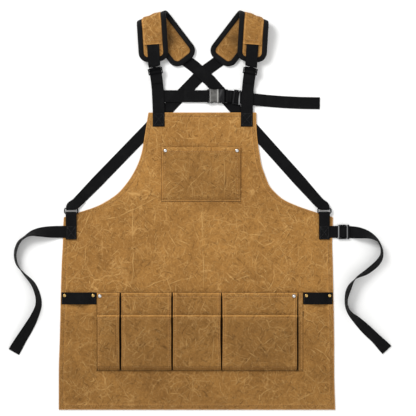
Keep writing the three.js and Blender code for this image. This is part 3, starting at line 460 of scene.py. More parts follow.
def webbing():
    """Black webbing: u runs across it and v along it, in centimetres."""
    n = Nodes("webbing")
    u, v = n.split(n.place("UV"))
    row = n.wave(v, 0.17)
    zigzag = n.math("PINGPONG", n.times(u, 1.0), 0.25)
    slanted = n.wave(n.plus(v, n.times(zigzag, 1.2)), 0.17)
    columns = n.wave(u, 0.25)
    threads = n.plus(n.times(slanted, 0.7), n.times(columns, 0.3))
    place = n.place()
    fuzz = n.noise(place, 700.0, 2.0)["Fac"]
    dust = n.noise(place, 45.0, 3.0)["Fac"]
    colour = n.mix(n.span(threads, -1.0, 1.0), linear(6, 6, 7), linear(22, 22, 23))
    colour = n.mix(n.span(dust, 0.5, 0.8, 0.0, 0.3), colour, linear(34, 34, 34))
    colour = n.mix(n.span(fuzz, 0.55, 0.8, 0.0, 0.25), colour, linear(44, 44, 46))
    normal = n.bump(threads, 0.0003, 0.75)
    normal = n.bump(row, 0.0001, 0.3, normal)
    rough = n.span(fuzz, 0.3, 0.7, 0.62, 0.82)
    return n.finish(colour, rough, normal, Specular_IOR_Level=0.07)


def ribbed_binding():
    """Black tape ribbed across its length: v runs along it, in centimetres."""
    n = Nodes("binding")
    u, v = n.split(n.place("UV"))
    ribs = n.wave(v, 0.22)
    cross = n.wave(u, 0.12)
    place = n.place()
    dust = n.noise(place, 60.0, 3.0)["Fac"]
    colour = n.mix(n.span(ribs, -1.0, 1.0), linear(6, 6, 7), linear(24, 24, 25))
    colour = n.mix(n.span(dust, 0.5, 0.8, 0.0, 0.3), colour, linear(36, 36, 37))
    normal = n.bump(ribs, 0.0004, 0.8)
    normal = n.bump(cross, 0.0001, 0.3, normal)
    rough = n.span(dust, 0.3, 0.7, 0.5, 0.68)
    return n.finish(colour, rough, normal, Specular_IOR_Level=0.1)


def plastic(name, dark, light, highlight_bands=(), highlight_colour=None, dark_rim=0.0, dull=0.0):
    """Moulded plastic with painted highlights: each listed band across it, as shares of its length, is a
    lighter colour where a rounded bar catches the light.

    The dark rim is a share of its width, and dull takes its shine away.
    """
    n = Nodes(name)
    coordinates = n.add("ShaderNodeTexCoord").outputs
    place = coordinates["Object"]
    grain = n.noise(place, 1500.0, 2.0)["Fac"]
    scuffs = n.noise(place, 130.0, 4.0)["Fac"]
    colour = n.mix(n.span(scuffs, 0.4, 0.75), dark, light)
    share = n.add("ShaderNodeSeparateXYZ", {0: coordinates["Generated"]}).outputs
    # Painted highlights: each band is lit where a rounded bar would catch the light
    for low, high in highlight_bands:
        soft = 0.02
        colour = n.mix(n.between(share[0], low, high, soft), colour, highlight_colour)
    if dark_rim:
        wavy = n.plus(share[1], n.span(n.noise(place, 300.0, 1.0)["Fac"], 0.3, 0.7, -0.04, 0.04))
        rim = n.most(n.span(wavy, 0.0, dark_rim, 1.0, 0.0), n.span(wavy, 1 - dark_rim, 1.0))
        colour = n.mix(n.times(rim, 0.8), colour, linear(38, 38, 40))
    rough = n.span(scuffs, 0.3, 0.7, 0.34 + 0.3 * dull, 0.5 + 0.3 * dull)
    return n.finish(colour, rough, n.bump(grain, 0.00008, 0.5), Specular_IOR_Level=0.16 - 0.14 * dull)


def metal(name, clean, dull):
    n = Nodes(name)
    place = n.place()
    marks = n.noise(place, 900.0, 3.0)["Fac"]
    tarnish = n.noise(place, 260.0, 3.0)["Fac"]
    colour = n.mix(n.span(tarnish, 0.45, 0.75, 0.0, 0.7), clean, dull)
    # Painted shade: a dark brown ring round the edge of the head
    level = n.vector("MULTIPLY", n.place("Generated"), (1.0, 1.0, 0.0))
    out = n.add("ShaderNodeVectorMath", {0: level, 1: (0.5, 0.5, 0.0)}, operation="DISTANCE").outputs["Value"]
    colour = n.mix(n.span(out, 0.36, 0.44), colour, linear(70, 44, 24))
    rough = n.span(marks, 0.3, 0.7, 0.18, 0.36)
    return n.finish(colour, rough, n.bump(marks, 0.00004, 0.4), Metallic=1.0)


def thread(name, dark, light):
    n = Nodes(name)
    place = n.place()
    twist = n.noise(place, 1800.0, 2.0)["Fac"]
    colour = n.mix(n.span(twist, 0.35, 0.65), dark, light)
    return n.finish(colour, 0.7, n.bump(twist, 0.0001, 0.5), Sheen_Weight=0.2)


CANVAS = waxed_canvas("waxed_canvas")
POCKET_CANVAS = waxed_canvas("waxed_canvas_pocket", (), POCKET_LINES)
WEBBING = webbing()
BINDING = ribbed_binding()
BLACKS = (linear(12, 12, 13), linear(24, 24, 26))
# Painted highlights: light bands on the sliders' bars and the male buckle's bar
PAINTED_HIGHLIGHT = linear(140, 140, 140)
SLIDER_PLASTIC = plastic("slider_plastic", *BLACKS, [(0.02, 0.1), (0.72, 0.85)], PAINTED_HIGHLIGHT)
CHEST_PLASTIC = plastic("chest_plastic", *BLACKS, [(0.7, 0.82)], PAINTED_HIGHLIGHT)
BAR_PLASTIC = plastic("bar_plastic", *BLACKS, [(0.87, 0.93)], linear(64, 64, 65))
RING_PLASTIC = plastic("ring_plastic", linear(8, 8, 9), linear(18, 18, 20), dull=1.0)
# Painted sheen: the female buckle's grey stands for light on black plastic, with painted highlight bands, and
# it is darker at its rim
BUCKLE_SHEEN_PLASTIC = plastic("grey_plastic", linear(78, 77, 75), linear(108, 107, 104), [(0.2, 0.3), (0.84, 0.93)],
                       linear(158, 157, 154), 0.14)
SILVER = metal("silver_metal", linear(246, 245, 242), linear(206, 203, 198))
BRASS = metal("brass", linear(222, 186, 116), linear(160, 124, 66))
TAN_THREAD = thread("tan_thread", linear(186, 128, 62), linear(226, 172, 104))
BLACK_THREAD = thread("black_thread", linear(14, 14, 15), linear(30, 30, 32))


# Meshes


def make(name, points, faces, material, nodes=(), uvs=None, wear=None, seam_shade=None, shade=None,
         flipped=False):
    """One named piece from points in millimetres, standing for the nodes."""
    if flipped:
        faces = [tuple(reversed(f)) for f in faces]
    mesh = bpy.data.meshes.new(name)
    mesh.from_pydata(metres(points).tolist(), [], [tuple(int(i) for i in f) for f in faces])
    mesh.update()
    mesh.shade_smooth()
    if uvs is not None:
        layer = mesh.uv_layers.new(name="UVMap")
        corners = np.empty(len(mesh.loops), np.int32)
        mesh.loops.foreach_get("vertex_index", corners)
        layer.data.foreach_set("uv", np.asarray(uvs, np.float32)[corners].ravel())
    for key, values in (("wear", wear), ("seam_shade", seam_shade), ("shade", shade)):
        if values is not None:
            weights = mesh.attributes.new(key, "FLOAT", "POINT")
            weights.data.foreach_set("value", np.asarray(values, np.float32).ravel())
    mesh.materials.append(material)
    piece = bpy.data.objects.new(name, mesh)
    bpy.context.scene.collection.objects.link(piece)
    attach(piece, "root")
    if nodes:
        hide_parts(*nodes)
    return piece


def grid_faces(rows, columns, start=0, reverse=False):
    i, j = np.meshgrid(np.arange(rows - 1), np.arange(columns - 1), indexing="ij")
    a = (start + i * columns + j).ravel()
    quads = np.stack([a, a + 1, a + 1 + columns, a + columns], 1)
    return quads[:, ::-1].tolist() if reverse else quads.tolist()


def border_of(rows, columns):
    """Rows and columns of a grid's border, once round."""
    border = [(0, j) for j in range(columns)]
    border += [(i, columns - 1) for i in range(1, rows)]
    border += [(rows - 1, j) for j in range(columns - 2, -1, -1)]
    return border + [(i, 0) for i in range(rows - 2, 0, -1)]


def rim_faces(rows, columns, low, high):
    index = [i * columns + j for i, j in border_of(rows, columns)]
    around = zip(index, index[1:] + index[:1])
    return [(low + a, low + b, high + b, high + a) for a, b in around]


def grid_normals(grid):
    along = np.gradient(grid, axis=0)
    across = np.gradient(grid, axis=1)
    return unit(np.cross(across, along))


def cloth(name, grid, under, over, nodes, wear, seam_shade, shade, material=None):
    """A sheet with thickness about a grid of rows and columns; its edges are folded round."""
    rows, columns = grid.shape[:2]
    normal = grid_normals(grid)
    below, above = (np.broadcast_to(depth, (rows, columns))[..., None] for depth in (under, over))
    low = grid - normal * below
    high = grid + normal * above
    middle = grid + normal * (above - below) / 2
    border = border_of(rows, columns)
    rim = np.array([middle[i, j] for i, j in border])
    inner = np.array([grid[min(max(i, 1), rows - 2), min(max(j, 1), columns - 2)] for i, j in border])
    rim = rim + unit(rim - inner) * 0.35
    count = rows * columns
    ids = [i * columns + j for i, j in border]
    faces = grid_faces(rows, columns, count) + grid_faces(rows, columns, 0, True)
    total = len(ids)
    for k in range(total):
        a, b = ids[k], ids[(k + 1) % total]
        ra, rb = 2 * count + k, 2 * count + (k + 1) % total
        faces += [(a, b, rb, ra), (ra, rb, count + b, count + a)]
    points = np.concatenate([low.reshape(-1, 3), high.reshape(-1, 3), rim])

    def spread(values, outside=None):
        flat = np.broadcast_to(values, (rows, columns)).reshape(-1)
        return np.concatenate([flat, flat, flat[ids] if outside is None else np.full(total, outside)])

    return make(name, points, faces, material or CANVAS, nodes, None,
                spread(wear, 0.75), spread(seam_shade, 0.0), spread(shade))


# Creases of the waxed cloth: short ridges at seeded places, and the ones that stand out
rng = np.random.default_rng(7)
CREASE_COUNT = 190
crease_mid = rng.uniform([-350, 0], [350, 742], (CREASE_COUNT, 2))
crease_turn = rng.uniform(0, math.pi, CREASE_COUNT)
crease_half = rng.uniform(18, 75, CREASE_COUNT)
crease_high = rng.uniform(0.25, 0.9, CREASE_COUNT)
crease_wide = rng.uniform(2.5, 6.5, CREASE_COUNT)


# Named creases: from and to on the picture's frame, height and width in millimetres
MAIN_CREASES = [
    {"from": (132, 204), "to": (132.5, 284), "high": 1.6, "wide": 3.5},
    {"from": (203, 201), "to": (203.5, 289), "high": 1.5, "wide": 3.5},
    {"from": (86, 215), "to": (87, 288), "high": 1.1, "wide": 3.5},
    {"from": (250, 236), "to": (228, 268), "high": 1.3, "wide": 4},
    {"from": (262, 228), "to": (250, 250), "high": 1.1, "wide": 4},
    {"from": (300, 226), "to": (262, 262), "high": 1.5, "wide": 5},
    {"from": (318, 236), "to": (286, 243), "high": 1.7, "wide": 5},
    {"from": (80, 226), "to": (112, 240), "high": 1.7, "wide": 5},
    {"from": (84, 238), "to": (106, 262), "high": 1.4, "wide": 5},
    {"from": (90, 216), "to": (124, 222), "high": 1.2, "wide": 4},
    {"from": (110, 376), "to": (116, 404), "high": 1.2, "wide": 4},
    {"from": (160, 372), "to": (152, 402), "high": 1.0, "wide": 4},
    {"from": (232, 374), "to": (238, 405), "high": 1.1, "wide": 4},
    {"from": (296, 376), "to": (290, 404), "high": 1.2, "wide": 4},
    {"from": (66, 330), "to": (80, 372), "high": 1.4, "wide": 5},
    {"from": (330, 320), "to": (316, 366), "high": 1.4, "wide": 5},
    {"from": (186, 206), "to": (176, 240), "high": 1.0, "wide": 4},
    {"from": (160, 130), "to": (184, 142), "high": 0.9, "wide": 3.5},
    {"from": (214, 128), "to": (232, 138), "high": 0.9, "wide": 3.5},
]


def ridge(x, y, start, end, high, wide):
    start, end = np.array(start, float), np.array(end, float)
    run = end - start
    length = np.hypot(*run)
    along = ((x - start[0]) * run[0] + (y - start[1]) * run[1]) / length**2
    off = ((x - start[0]) * run[1] - (y - start[1]) * run[0]) / length
    bow = 0.05 * length * np.sin(math.pi * np.clip(along, 0, 1))
    fade = smooth(np.clip(along, 0, 1) / 0.3) * smooth((1 - np.clip(along, 0, 1)) / 0.3)
    return high * fade * bell(off - bow, wide)


def ridges(x, y, rows):
    """The creases of a table."""
    total = 0.0
    for row in rows:
        total = total + ridge(x, y, page(*row["from"]), page(*row["to"]), row["high"], row["wide"])
    return total


def crumple(x, y, share=1.0, shift=0.0):
    """How far the creases lift the cloth."""
    x, y = np.asarray(x, float), np.asarray(y, float)
    height = np.zeros(np.broadcast(x, y).shape)
    for mid, turn, half, high, wide in zip(crease_mid, crease_turn, crease_half, crease_high, crease_wide):
        reach = half * np.array([math.cos(turn + shift), math.sin(turn + shift)])
        height = height + ridge(x, y, mid - reach, mid + reach, high, wide)
    waves = 0.35 * (1 + np.sin(x / 31 + 1.3 * np.sin(y / 57)) * np.sin(y / 43 + shift))
    return share * (height + waves)


# Waist pockets: from and to are shares of the panel's width
WAIST_POCKETS = [
    {"number": 1, "from": 0.002, "to": 0.108},
    {"number": 2, "from": 0.121, "to": 0.361},
    {"number": 3, "from": 0.371, "to": 0.602},
    {"number": 4, "from": 0.61, "to": 0.97},
]
PANEL_LEFT = -PANEL_WIDTH / 2
PANEL_TOP = PANEL_HEIGHT + TALL
BIB_LEFT = BIB_SHIFT - BIB_WIDTH / 2
BIB_BOTTOM = BODY_LENGTH - BIB_DROP - BIB_HEIGHT


def body_shadows():
    """The slits between the pockets and the lines round the panels, where the body is dark."""
    edges = [PANEL_LEFT + row[key] * PANEL_WIDTH for row in WAIST_POCKETS for key in ("from", "to")]
    edges.append(PANEL_LEFT + 0.977 * PANEL_WIDTH)
    boxes = []
    for left, right in zip(edges[1::2], edges[2::2]):
        boxes.append({"x": (left + 0.5, right - 0.5), "y": (PANEL_HEIGHT + 1, PANEL_TOP + 0.5), "dark": 0.97})
    panel_right = PANEL_LEFT + PANEL_WIDTH
    boxes += [
        {"x": (PANEL_LEFT - 1, panel_right + 1), "y": (PANEL_HEIGHT - 1.8, PANEL_HEIGHT + 1), "dark": 0.6},
        {"x": (PANEL_LEFT - 1, panel_right), "y": (PANEL_TOP - 1, PANEL_TOP + 1.3), "dark": 0.5},
        {"x": (PANEL_LEFT - 0.6, PANEL_LEFT + 2), "y": (PANEL_HEIGHT, PANEL_TOP), "dark": 0.6},
        {"x": (panel_right - 1, panel_right + 1.4), "y": (PANEL_HEIGHT, PANEL_TOP), "dark": 0.6},
        {"x": (panel_right - 1, panel_right + 2.4), "y": (232, 246), "dark": 0.9},
        {"x": (BIB_LEFT - 1.4, BIB_LEFT + 1), "y": (BIB_BOTTOM - 1.4, BIB_BOTTOM + BIB_HEIGHT), "dark": 0.6},
        {"x": (BIB_LEFT + BIB_WIDTH - 1, BIB_LEFT + BIB_WIDTH + 1.4),
         "y": (BIB_BOTTOM - 1.4, BIB_BOTTOM + BIB_HEIGHT), "dark": 0.6},
        {"x": (BIB_LEFT - 1.4, BIB_LEFT + BIB_WIDTH + 1.4),
         "y": (BIB_BOTTOM - 1.6, BIB_BOTTOM + 1), "dark": 0.6},
    ]
    return boxes


BODY_CANVAS = waxed_canvas("waxed_canvas_body", body_shadows(), BODY_CREASES)

# Apron body
BODY_UP = [0, 0.12, 0.24, 0.4, 0.45, 0.5, 0.56, 0.61, 0.647, 0.662, 0.686, 0.706, 0.726, 0.756, 0.787, 0.827,
           0.868, 0.905, 0.948, 1]
BODY_LEFT = [1.02, 1.02, 1.013, 1.005, 1.002, 0.998, 0.991, 0.988, 0.984, 0.886, 0.737, 0.658, 0.597, 0.538,
             0.491, 0.447, 0.418, 0.404, 0.389, 0.371]
BODY_RIGHT = [0.98, 0.973, 0.972, 0.966, 0.964, 0.962, 0.958, 0.961, 0.964, 0.857, 0.705, 0.61, 0.556, 0.501,
              0.473, 0.444, 0.429, 0.418, 0.41, 0.408]
left_share = eased(BODY_UP, BODY_LEFT)
right_share = eased(BODY_UP, BODY_RIGHT)


def body_edge(side, up):
    """The edge of the body at a share of its length."""
    return side * HEM_HALF * (left_share(up) if side < 0 else right_share(up))


# Standing folds of the skirt: across is a share of the row, from and to are shares of the length
SKIRT_FOLDS = [
    {"across": 0.09, "from": 0.42, "to": 0.56, "high": 2.0},
    {"across": 0.258, "from": 0.41, "to": 0.68, "high": 3.5},
    {"across": 0.52, "from": 0.41, "to": 0.69, "high": 3.0},
    {"across": 0.86, "from": 0.45, "to": 0.63, "high": 2.5},
]
EDGE_STEPS = [0, 0.9, 2.0, 2.8, 3.6, 6.5, 9.2, 10.0, 10.8, 12.0, 13.2]


def steps_between(length, step):
    """Stations from edge to edge that are close together over both hems."""
    first, last = EDGE_STEPS[-1], length - EDGE_STEPS[-1]
    inside = np.linspace(first, last, int(round((last - first) / step)) + 1)[1:-1]
    return np.concatenate([EDGE_STEPS, inside, length - np.array(EDGE_STEPS[::-1])])


def hem_thickness(distance):
    """What a doubled, twice-stitched hem adds at a distance from the edge."""
    lift = 0.9 * smooth((HEM - distance) / 1.2)
    for line in (2.8, 10.0):
        lift = lift - 0.4 * bell(distance - line, 0.7)
    return np.maximum(lift, -0.35)


def build_body():
    corners = np.array([ARM_CORNER, 0.6545, 0.662]) * BODY_LENGTH
    y = steps_between(BODY_LENGTH, 4.6)
    clear = np.abs(y[:, None] - corners[None, :]).min(1) > 1.6
    y = np.sort(np.concatenate([y[clear], corners]))
    up = y / BODY_LENGTH
    left, right = body_edge(-1, up), body_edge(1, up)
    edge_steps = np.array(EDGE_STEPS)
    shares = np.linspace(0, 1, 148)[1:-1]
    stretch_left = np.minimum(np.hypot(1, np.gradient(left, y)), 1.9)
    stretch_right = np.minimum(np.hypot(1, np.gradient(right, y)), 1.9)
    near = left[:, None] + edge_steps[None, :] * stretch_left[:, None]
    far = right[:, None] - edge_steps[None, ::-1] * stretch_right[:, None]
    inside = near[:, -1:] + (far[:, :1] - near[:, -1:]) * shares[None, :]
    x = np.concatenate([near, inside, far], 1)
    yy = np.repeat(y[:, None], x.shape[1], 1)
    to_left = (x - left[:, None]) / stretch_left[:, None]
    to_right = (right[:, None] - x) / stretch_right[:, None]
    side = np.minimum(to_left, to_right)
    distance = np.minimum(np.minimum(side, yy), BODY_LENGTH - yy)
    z = BIB_LIFT * smooth((up - 0.662) / (0.706 - 0.662))[:, None] + np.zeros_like(x)
    row_share = (x - left[:, None]) / (right - left)[:, None]
    for fold in SKIRT_FOLDS:
        along = np.clip((up - fold["from"]) / (fold["to"] - fold["from"]), 0, 1)[:, None]
        off = (row_share - fold["across"]) * (right - left)[:, None]
        z = z + fold["high"] * np.sin(math.pi * along) * bell(off, 9)
    z = z + ridges(x, yy, MAIN_CREASES)
    panel = smooth((np.abs(x) - PANEL_WIDTH / 2 - 2) / 12)
    panel = np.maximum(panel, smooth((PANEL_HEIGHT - 2 - yy) / 12))
    panel = np.maximum(panel, smooth((yy - PANEL_HEIGHT - TALL - 6) / 20))
    bib = smooth((np.abs(x - BIB_SHIFT) - BIB_WIDTH / 2 - 2) / 10)
    bib = np.maximum(bib, smooth(np.abs(yy - BODY_LENGTH + BIB_DROP + BIB_HEIGHT / 2) / 8 - BIB_HEIGHT / 16))
    free = smooth(distance / 30)
    z = z + crumple(x, yy) * panel * bib * (0.25 + 0.75 * free)
    grid = np.stack([x, yy, z + CLOTH / 2], 2)
    over = CLOTH / 2 + hem_thickness(distance)
    wear = 0.85 * bell(distance, 2.2) + 0.4 * bell(distance - 12.2, 1.0)
    # Painted shade along the hem's stitch lines, in their grooves
    seam_shade = 0.5 * bell(distance - 2.8, 0.6) + 0.55 * bell(distance - 10.0, 0.7)
    shade = 0.03 + 0.15 * smooth((112 - yy) / 30) - 0.03 * smooth((yy - 500) / 40)
    beside = smooth((np.abs(x) - PANEL_WIDTH / 2 - 1) / 5) * smooth((260 - yy) / 40) * smooth((yy - 60) / 40)
    shade = shade + 0.13 * beside
    piece = cloth("apron_cloth", grid, CLOTH / 2, over, ["apron_body"], wear, seam_shade, shade, BODY_CANVAS)
    return piece


body_piece = build_body()


# Creases of the waist pockets, on the picture's frame
POCKET_CREASES = {
    2: [{"from": (148, 320), "to": (136, 345), "high": 1.6, "wide": 3.5},
        {"from": (128, 352), "to": (146, 340), "high": 1.1, "wide": 3}],
    3: [{"from": (176, 350), "to": (196, 340), "high": 1.2, "wide": 3.5},
        {"from": (205, 326), "to": (216, 346), "high": 1.2, "wide": 3.5}],
    4: [{"from": (262, 345), "to": (249, 328), "high": 1.5, "wide": 3.5},
        {"from": (262, 345), "to": (276, 330), "high": 1.5, "wide": 3.5},
        {"from": (262, 342), "to": (264, 364), "high": 1.4, "wide": 3.5},
        {"from": (269, 322), "to": (276, 330), "high": 1.0, "wide": 2.5}],
    1: [{"from": (106, 330), "to": (114, 350), "high": 1.0, "wide": 3},
        {"from": (117.4, 317), "to": (118.2, 367), "high": 1.6, "wide": 1.6}],
}
# The turn of a pocket's side: out is the distance from its edge, rise is a share of its room
POCKET_SIDE = [
    {"out": 0.7, "rise": 0.3},
    {"out": 0.8, "rise": 0.62},
    {"out": 1.5, "rise": 0.84},
    {"out": 2.6, "rise": 0.94},
    {"out": 4.2, "rise": 0.985},
    {"out": 5.4, "rise": 0.995},
    {"out": 6.4, "rise": 1.0},
]


# How far a pocket's side leans out into the slit beside it, at heights above the panel's foot, in millimetres
POCKET_SWAY = [
    {"number": 1, "side": "right", "up": (0, 50, 100, 139, 194), "out": (2.2, 1.9, 1.2, 1.4, 0.9)},
    {"number": 2, "side": "left", "up": (0, 60, 110, 139, 194), "out": (1.9, 1.2, 1.6, 1.3, 1.0)},
    {"number": 2, "side": "right", "up": (0, 45, 90, 139, 194), "out": (1.5, 1.1, 1.2, 0.5, 0.3)},
    {"number": 3, "side": "left", "up": (0, 55, 100, 139, 194), "out": (1.4, 1.2, 0.9, 0.9, 0.4)},
    {"number": 3, "side": "right", "up": (0, 40, 90, 139, 194), "out": (1.5, 0.8, -0.2, 0.0, 0.5)},
    {"number": 4, "side": "left", "up": (0, 50, 95, 139, 194), "out": (1.4, 0.6, 0.1, -0.3, 0.3)},
    {"number": 4, "side": "right", "up": (0, 40, 100, 139, 194), "out": (1.2, 1.6, 1.0, 1.4, 2.2)},
]


def sway(number, side, up):
    """How far a side of a pocket leans out at heights above the panel's foot."""
    for row in POCKET_SWAY:
        if row["number"] == number and row["side"] == side:
            return eased(row["up"], row["out"])(up)
    return np.zeros_like(up)


def patch_pocket(name, node, number, left, right, height, base, room, wrinkles, shift, creases, hem, shade):
    out = np.array([0.7] + [row["out"] for row in POCKET_SIDE])
    rise = np.array([0.0] + [row["rise"] for row in POCKET_SIDE])
    width = right - left
    inside = np.linspace(out[-1], width - out[-1], max(int(width / 4.2), 26))[1:-1]
    x = np.concatenate([out, inside, width - out[::-1]])
    f = np.concatenate([rise, np.ones(len(inside)), rise[::-1]])
    near_top = [14, hem + 3.2, hem + 2.4, hem + 1.4, hem + 0.6, hem, hem - 0.6, hem * 0.6, 3, 1.2, 0]
    up = np.unique(np.concatenate([
        [0, 1.5, 3, 5, 7.5, 10, SEAM_RAMP, 15],
        np.linspace(15, height - 14, int(height / 4.5)),
        height - np.array(near_top),
    ]))
    xx, uu = np.meshgrid(x, up)
    ramp = smooth(uu / SEAM_RAMP)
    share = xx / width
    foot = (np.arange(len(x)) == 0) | (np.arange(len(x)) == len(x) - 1)
    profile = np.broadcast_to(f, xx.shape)
    crown = (CROWN * np.sin(math.pi * share) + 0.9 * np.sin(math.pi * share) * (uu / height) ** 2) * ramp
    world_x = left + xx - sway(number, "left", uu) * (1 - share) + sway(number, "right", uu) * share
    world_y = PANEL_HEIGHT + uu
    inner = smooth(np.minimum(xx, width - xx) / 9) * ramp
    folds = crumple(world_x, world_y, wrinkles, shift) + ridges(world_x, world_y, creases)
    z = base(share, uu) + POCKET_WALL / 2 + room * ramp * profile + crown * profile + folds * inner
    z = np.where(foot[None, :], base(share, uu) + POCKET_WALL / 2 * (1 - ramp), z)
    grid = np.stack([world_x, world_y, z], 2)
    from_top = height - uu
    doubled = 0.8 * smooth((hem + 1.4 - from_top) / 1.2) - 0.3 * bell(from_top - hem, 0.7)
    side = np.minimum(xx, width - xx)
    seam_groove = 0.25 * bell(side - 4.2, 0.8) * ramp
    over = POCKET_WALL / 2 + np.maximum(doubled, -0.3) - seam_groove
    wear = 0.7 * bell(from_top, 1.6) + 0.85 * bell(side - 1.9, 1.2) * ramp
    wear = wear + 0.65 * bell(from_top - hem - 1.6, 1.1) + 0.5 * bell(uu - 7.5, 1.3)
    wear = wear + 0.4 * bell(side - 6.4, 1.0) * ramp
    # Painted shade along the pocket's hem, side and foot seams
    seam_shade = 0.5 * bell(from_top - hem, 0.6) + 0.45 * bell(side - 4.2, 0.6)
    seam_shade = seam_shade + 0.5 * bell(uu, 1.2) + 0.4 * bell(uu - 10.5, 0.7)
    dark = shade * smooth((from_top - 1) / (hem + 2))
    dark = dark + (0.72 - shade) * (side < 1.3) * (1 - smooth((side - 0.75) / 0.7))
    piece = cloth(name, grid, POCKET_WALL / 2, over, [node], np.minimum(wear, 1), np.minimum(seam_shade, 1), dark,
                  POCKET_CANVAS)
    return piece


def tall_base(share, up):
    return np.full(np.shape(up), CLOTH + GAP)


def short_base(share, up):
    ramp = np.minimum(up / SEAM_RAMP, 1)
    crown = CROWN * np.sin(math.pi * share) * np.minimum(TALL_ROOM * ramp, 1)
    return CLOTH + GAP + TALL_ROOM * smooth(ramp) + crown + POCKET_WALL + GAP


tall_pieces, short_pieces = {}, {}
for row in WAIST_POCKETS:
    number = row["number"]
    left = PANEL_LEFT + row["from"] * PANEL_WIDTH
    right = PANEL_LEFT + row["to"] * PANEL_WIDTH
    tall_pieces[number] = patch_pocket(
        f"tall_pocket_cloth_{number}", f"pocket_back_{number}", number, left, right, TALL, tall_base,
        TALL_ROOM, 0.35, 0.6, [], 9.6, 0.16)
    short_pieces[number] = patch_pocket(
        f"short_pocket_cloth_{number}", f"pocket_front_{number}", number, left + 0.6, right - 0.6, SHORT,
        short_base, SHORT_ROOM, 0.75, 1.7, POCKET_CREASES[number], 7.4, 0.27)


def plain_patch(name, x0, x1, y0, y1, z, wall, nodes, step=4.0):
    """A small flat patch of cloth."""
    x = np.linspace(x0, x1, max(int((x1 - x0) / step), 4) + 1)
    y = np.linspace(y0, y1, int((y1 - y0) / step) + 1)
    xx, yy = np.meshgrid(x, y)
    zz = z + wall / 2 + 0.35 * crumple(xx, yy, 0.4, 0.3) * smooth(np.minimum(xx - x0, x1 - xx) / 3)
    edge = np.minimum(np.minimum(xx - x0, x1 - xx), np.minimum(yy - y0, y1 - yy))
    wear = 0.6 * bell(edge, 1.5)
    shade = 0.2 + 0.6 * np.exp(-((xx - x0) / 0.8) ** 2)
    return cloth(name, np.stack([xx, yy, zz], 2), wall / 2, wall / 2, nodes, wear, 0.0, shade)


strip_left = PANEL_LEFT + 0.977 * PANEL_WIDTH
strip_right = PANEL_LEFT + PANEL_WIDTH
strip = plain_patch("end_strip_cloth", strip_left, strip_right, PANEL_HEIGHT, PANEL_HEIGHT + TALL,
                    CLOTH + GAP, POCKET_WALL, ["pocket_end_strip"])
strip_over = plain_patch("end_strip_front_cloth", strip_left + 0.4, strip_right - 0.4, PANEL_HEIGHT,
                         PANEL_HEIGHT + SHORT, CLOTH + GAP + POCKET_WALL + 0.1, POCKET_WALL - 0.2,
                         ["pocket_end_strip"])


# Bib pocket with a wide cell and two pen cells
DIVIDERS = [0, 0.63, 0.817, 1]


def build_bib_pocket():
    turn = np.array([0, 0.7, 1.3, 2.0, 3.0, 4.0, 5.5])
    rise = np.array([0, 0.25, 0.55, 0.8, 0.94, 0.99, 1.0])
    x_parts, f_parts, s_parts, d_parts = [], [], [], []
    for a, b in zip(DIVIDERS[:-1], DIVIDERS[1:]):
        start, width = a * BIB_WIDTH, (b - a) * BIB_WIDTH
        inside = np.linspace(turn[-1], width - turn[-1], max(int(width / 3.6), 5))[1:-1]
        local = np.concatenate([turn, inside, width - turn[:0:-1]])
        profile = np.concatenate([rise, np.ones(len(inside)), rise[:0:-1]])
        x_parts.append(start + local)
        f_parts.append(profile)
        s_parts.append(local / width)
        first_half = local < width / 2
        d_parts.append((first_half & (a > 0)) | (~first_half & (b < 1)))
    x = np.concatenate(x_parts + [[BIB_WIDTH]])
    f = np.concatenate(f_parts + [[0.0]])
    s = np.concatenate(s_parts + [[0.0]])
    at_divider = np.concatenate(d_parts + [[False]])
    up = np.unique(np.concatenate([
        [0, 1.5, 3, 5, 8, 10, SEAM_RAMP, 15],
        np.linspace(15, BIB_HEIGHT - 14, 27),
        BIB_HEIGHT - np.array([14, 12.8, 12, 11, 10.2, 9.6, 9, 7.4, 6, 4.6, 3, 1.2, 0]),
    ]))
    xx, uu = np.meshgrid(x, up)
    sewn = 0.06 + 0.5 * smooth((uu - BIB_HEIGHT + 9) / 4)
    ff = np.where(at_divider[None, :], 1 - (1 - f[None, :]) * sewn, f[None, :])
    ss = np.broadcast_to(s, xx.shape)
    ramp = smooth(uu / SEAM_RAMP)
    world_x, world_y = BIB_LEFT + xx, BIB_BOTTOM + uu
    edge = np.minimum(np.minimum(xx, BIB_WIDTH - xx), uu)
    crown = 0.5 * np.sin(math.pi * ss) * ramp
    folds = crumple(world_x, world_y, 0.6, 2.4) * ff * smooth(edge / 10)
    z = BIB_TOP + GAP + POCKET_WALL / 2 + BIB_ROOM * ff * ramp + crown + folds
    grid = np.stack([world_x, world_y, z], 2)
    from_top = BIB_HEIGHT - uu
    hem = 0.8 * smooth((11.5 - from_top) / 1.2) - 0.3 * bell(from_top - 10, 0.7)
    over = POCKET_WALL / 2 + np.maximum(hem, -0.3)
    side = np.minimum(xx, BIB_WIDTH - xx)
    wear = 0.3 * bell(from_top, 1.6) + 0.6 * bell(side - 1.5, 1.4)
    wear = wear + 0.6 * bell(uu - 1.5, 1.5) + 0.3 * bell(from_top - 11.6, 0.9)
    # Painted shade along the hem's stitch line
    seam_shade = 0.5 * bell(from_top - 10, 0.6)
    shade = 0.18 * smooth((from_top - 9) / 3)
    mouth = bell(from_top - 5.4, 2.2)
    for divider in DIVIDERS[1:-1]:
        off = xx - divider * BIB_WIDTH
        shade = shade + (0.95 * mouth + 0.05) * bell(off, 1.4)
    piece = cloth("bib_pocket_cloth", grid, POCKET_WALL / 2, over, ["bib_pocket"],
                  np.minimum(wear, 1), seam_shade, np.minimum(shade, 1), POCKET_CANVAS)
    return piece


bib_piece = build_bib_pocket()


# Straps


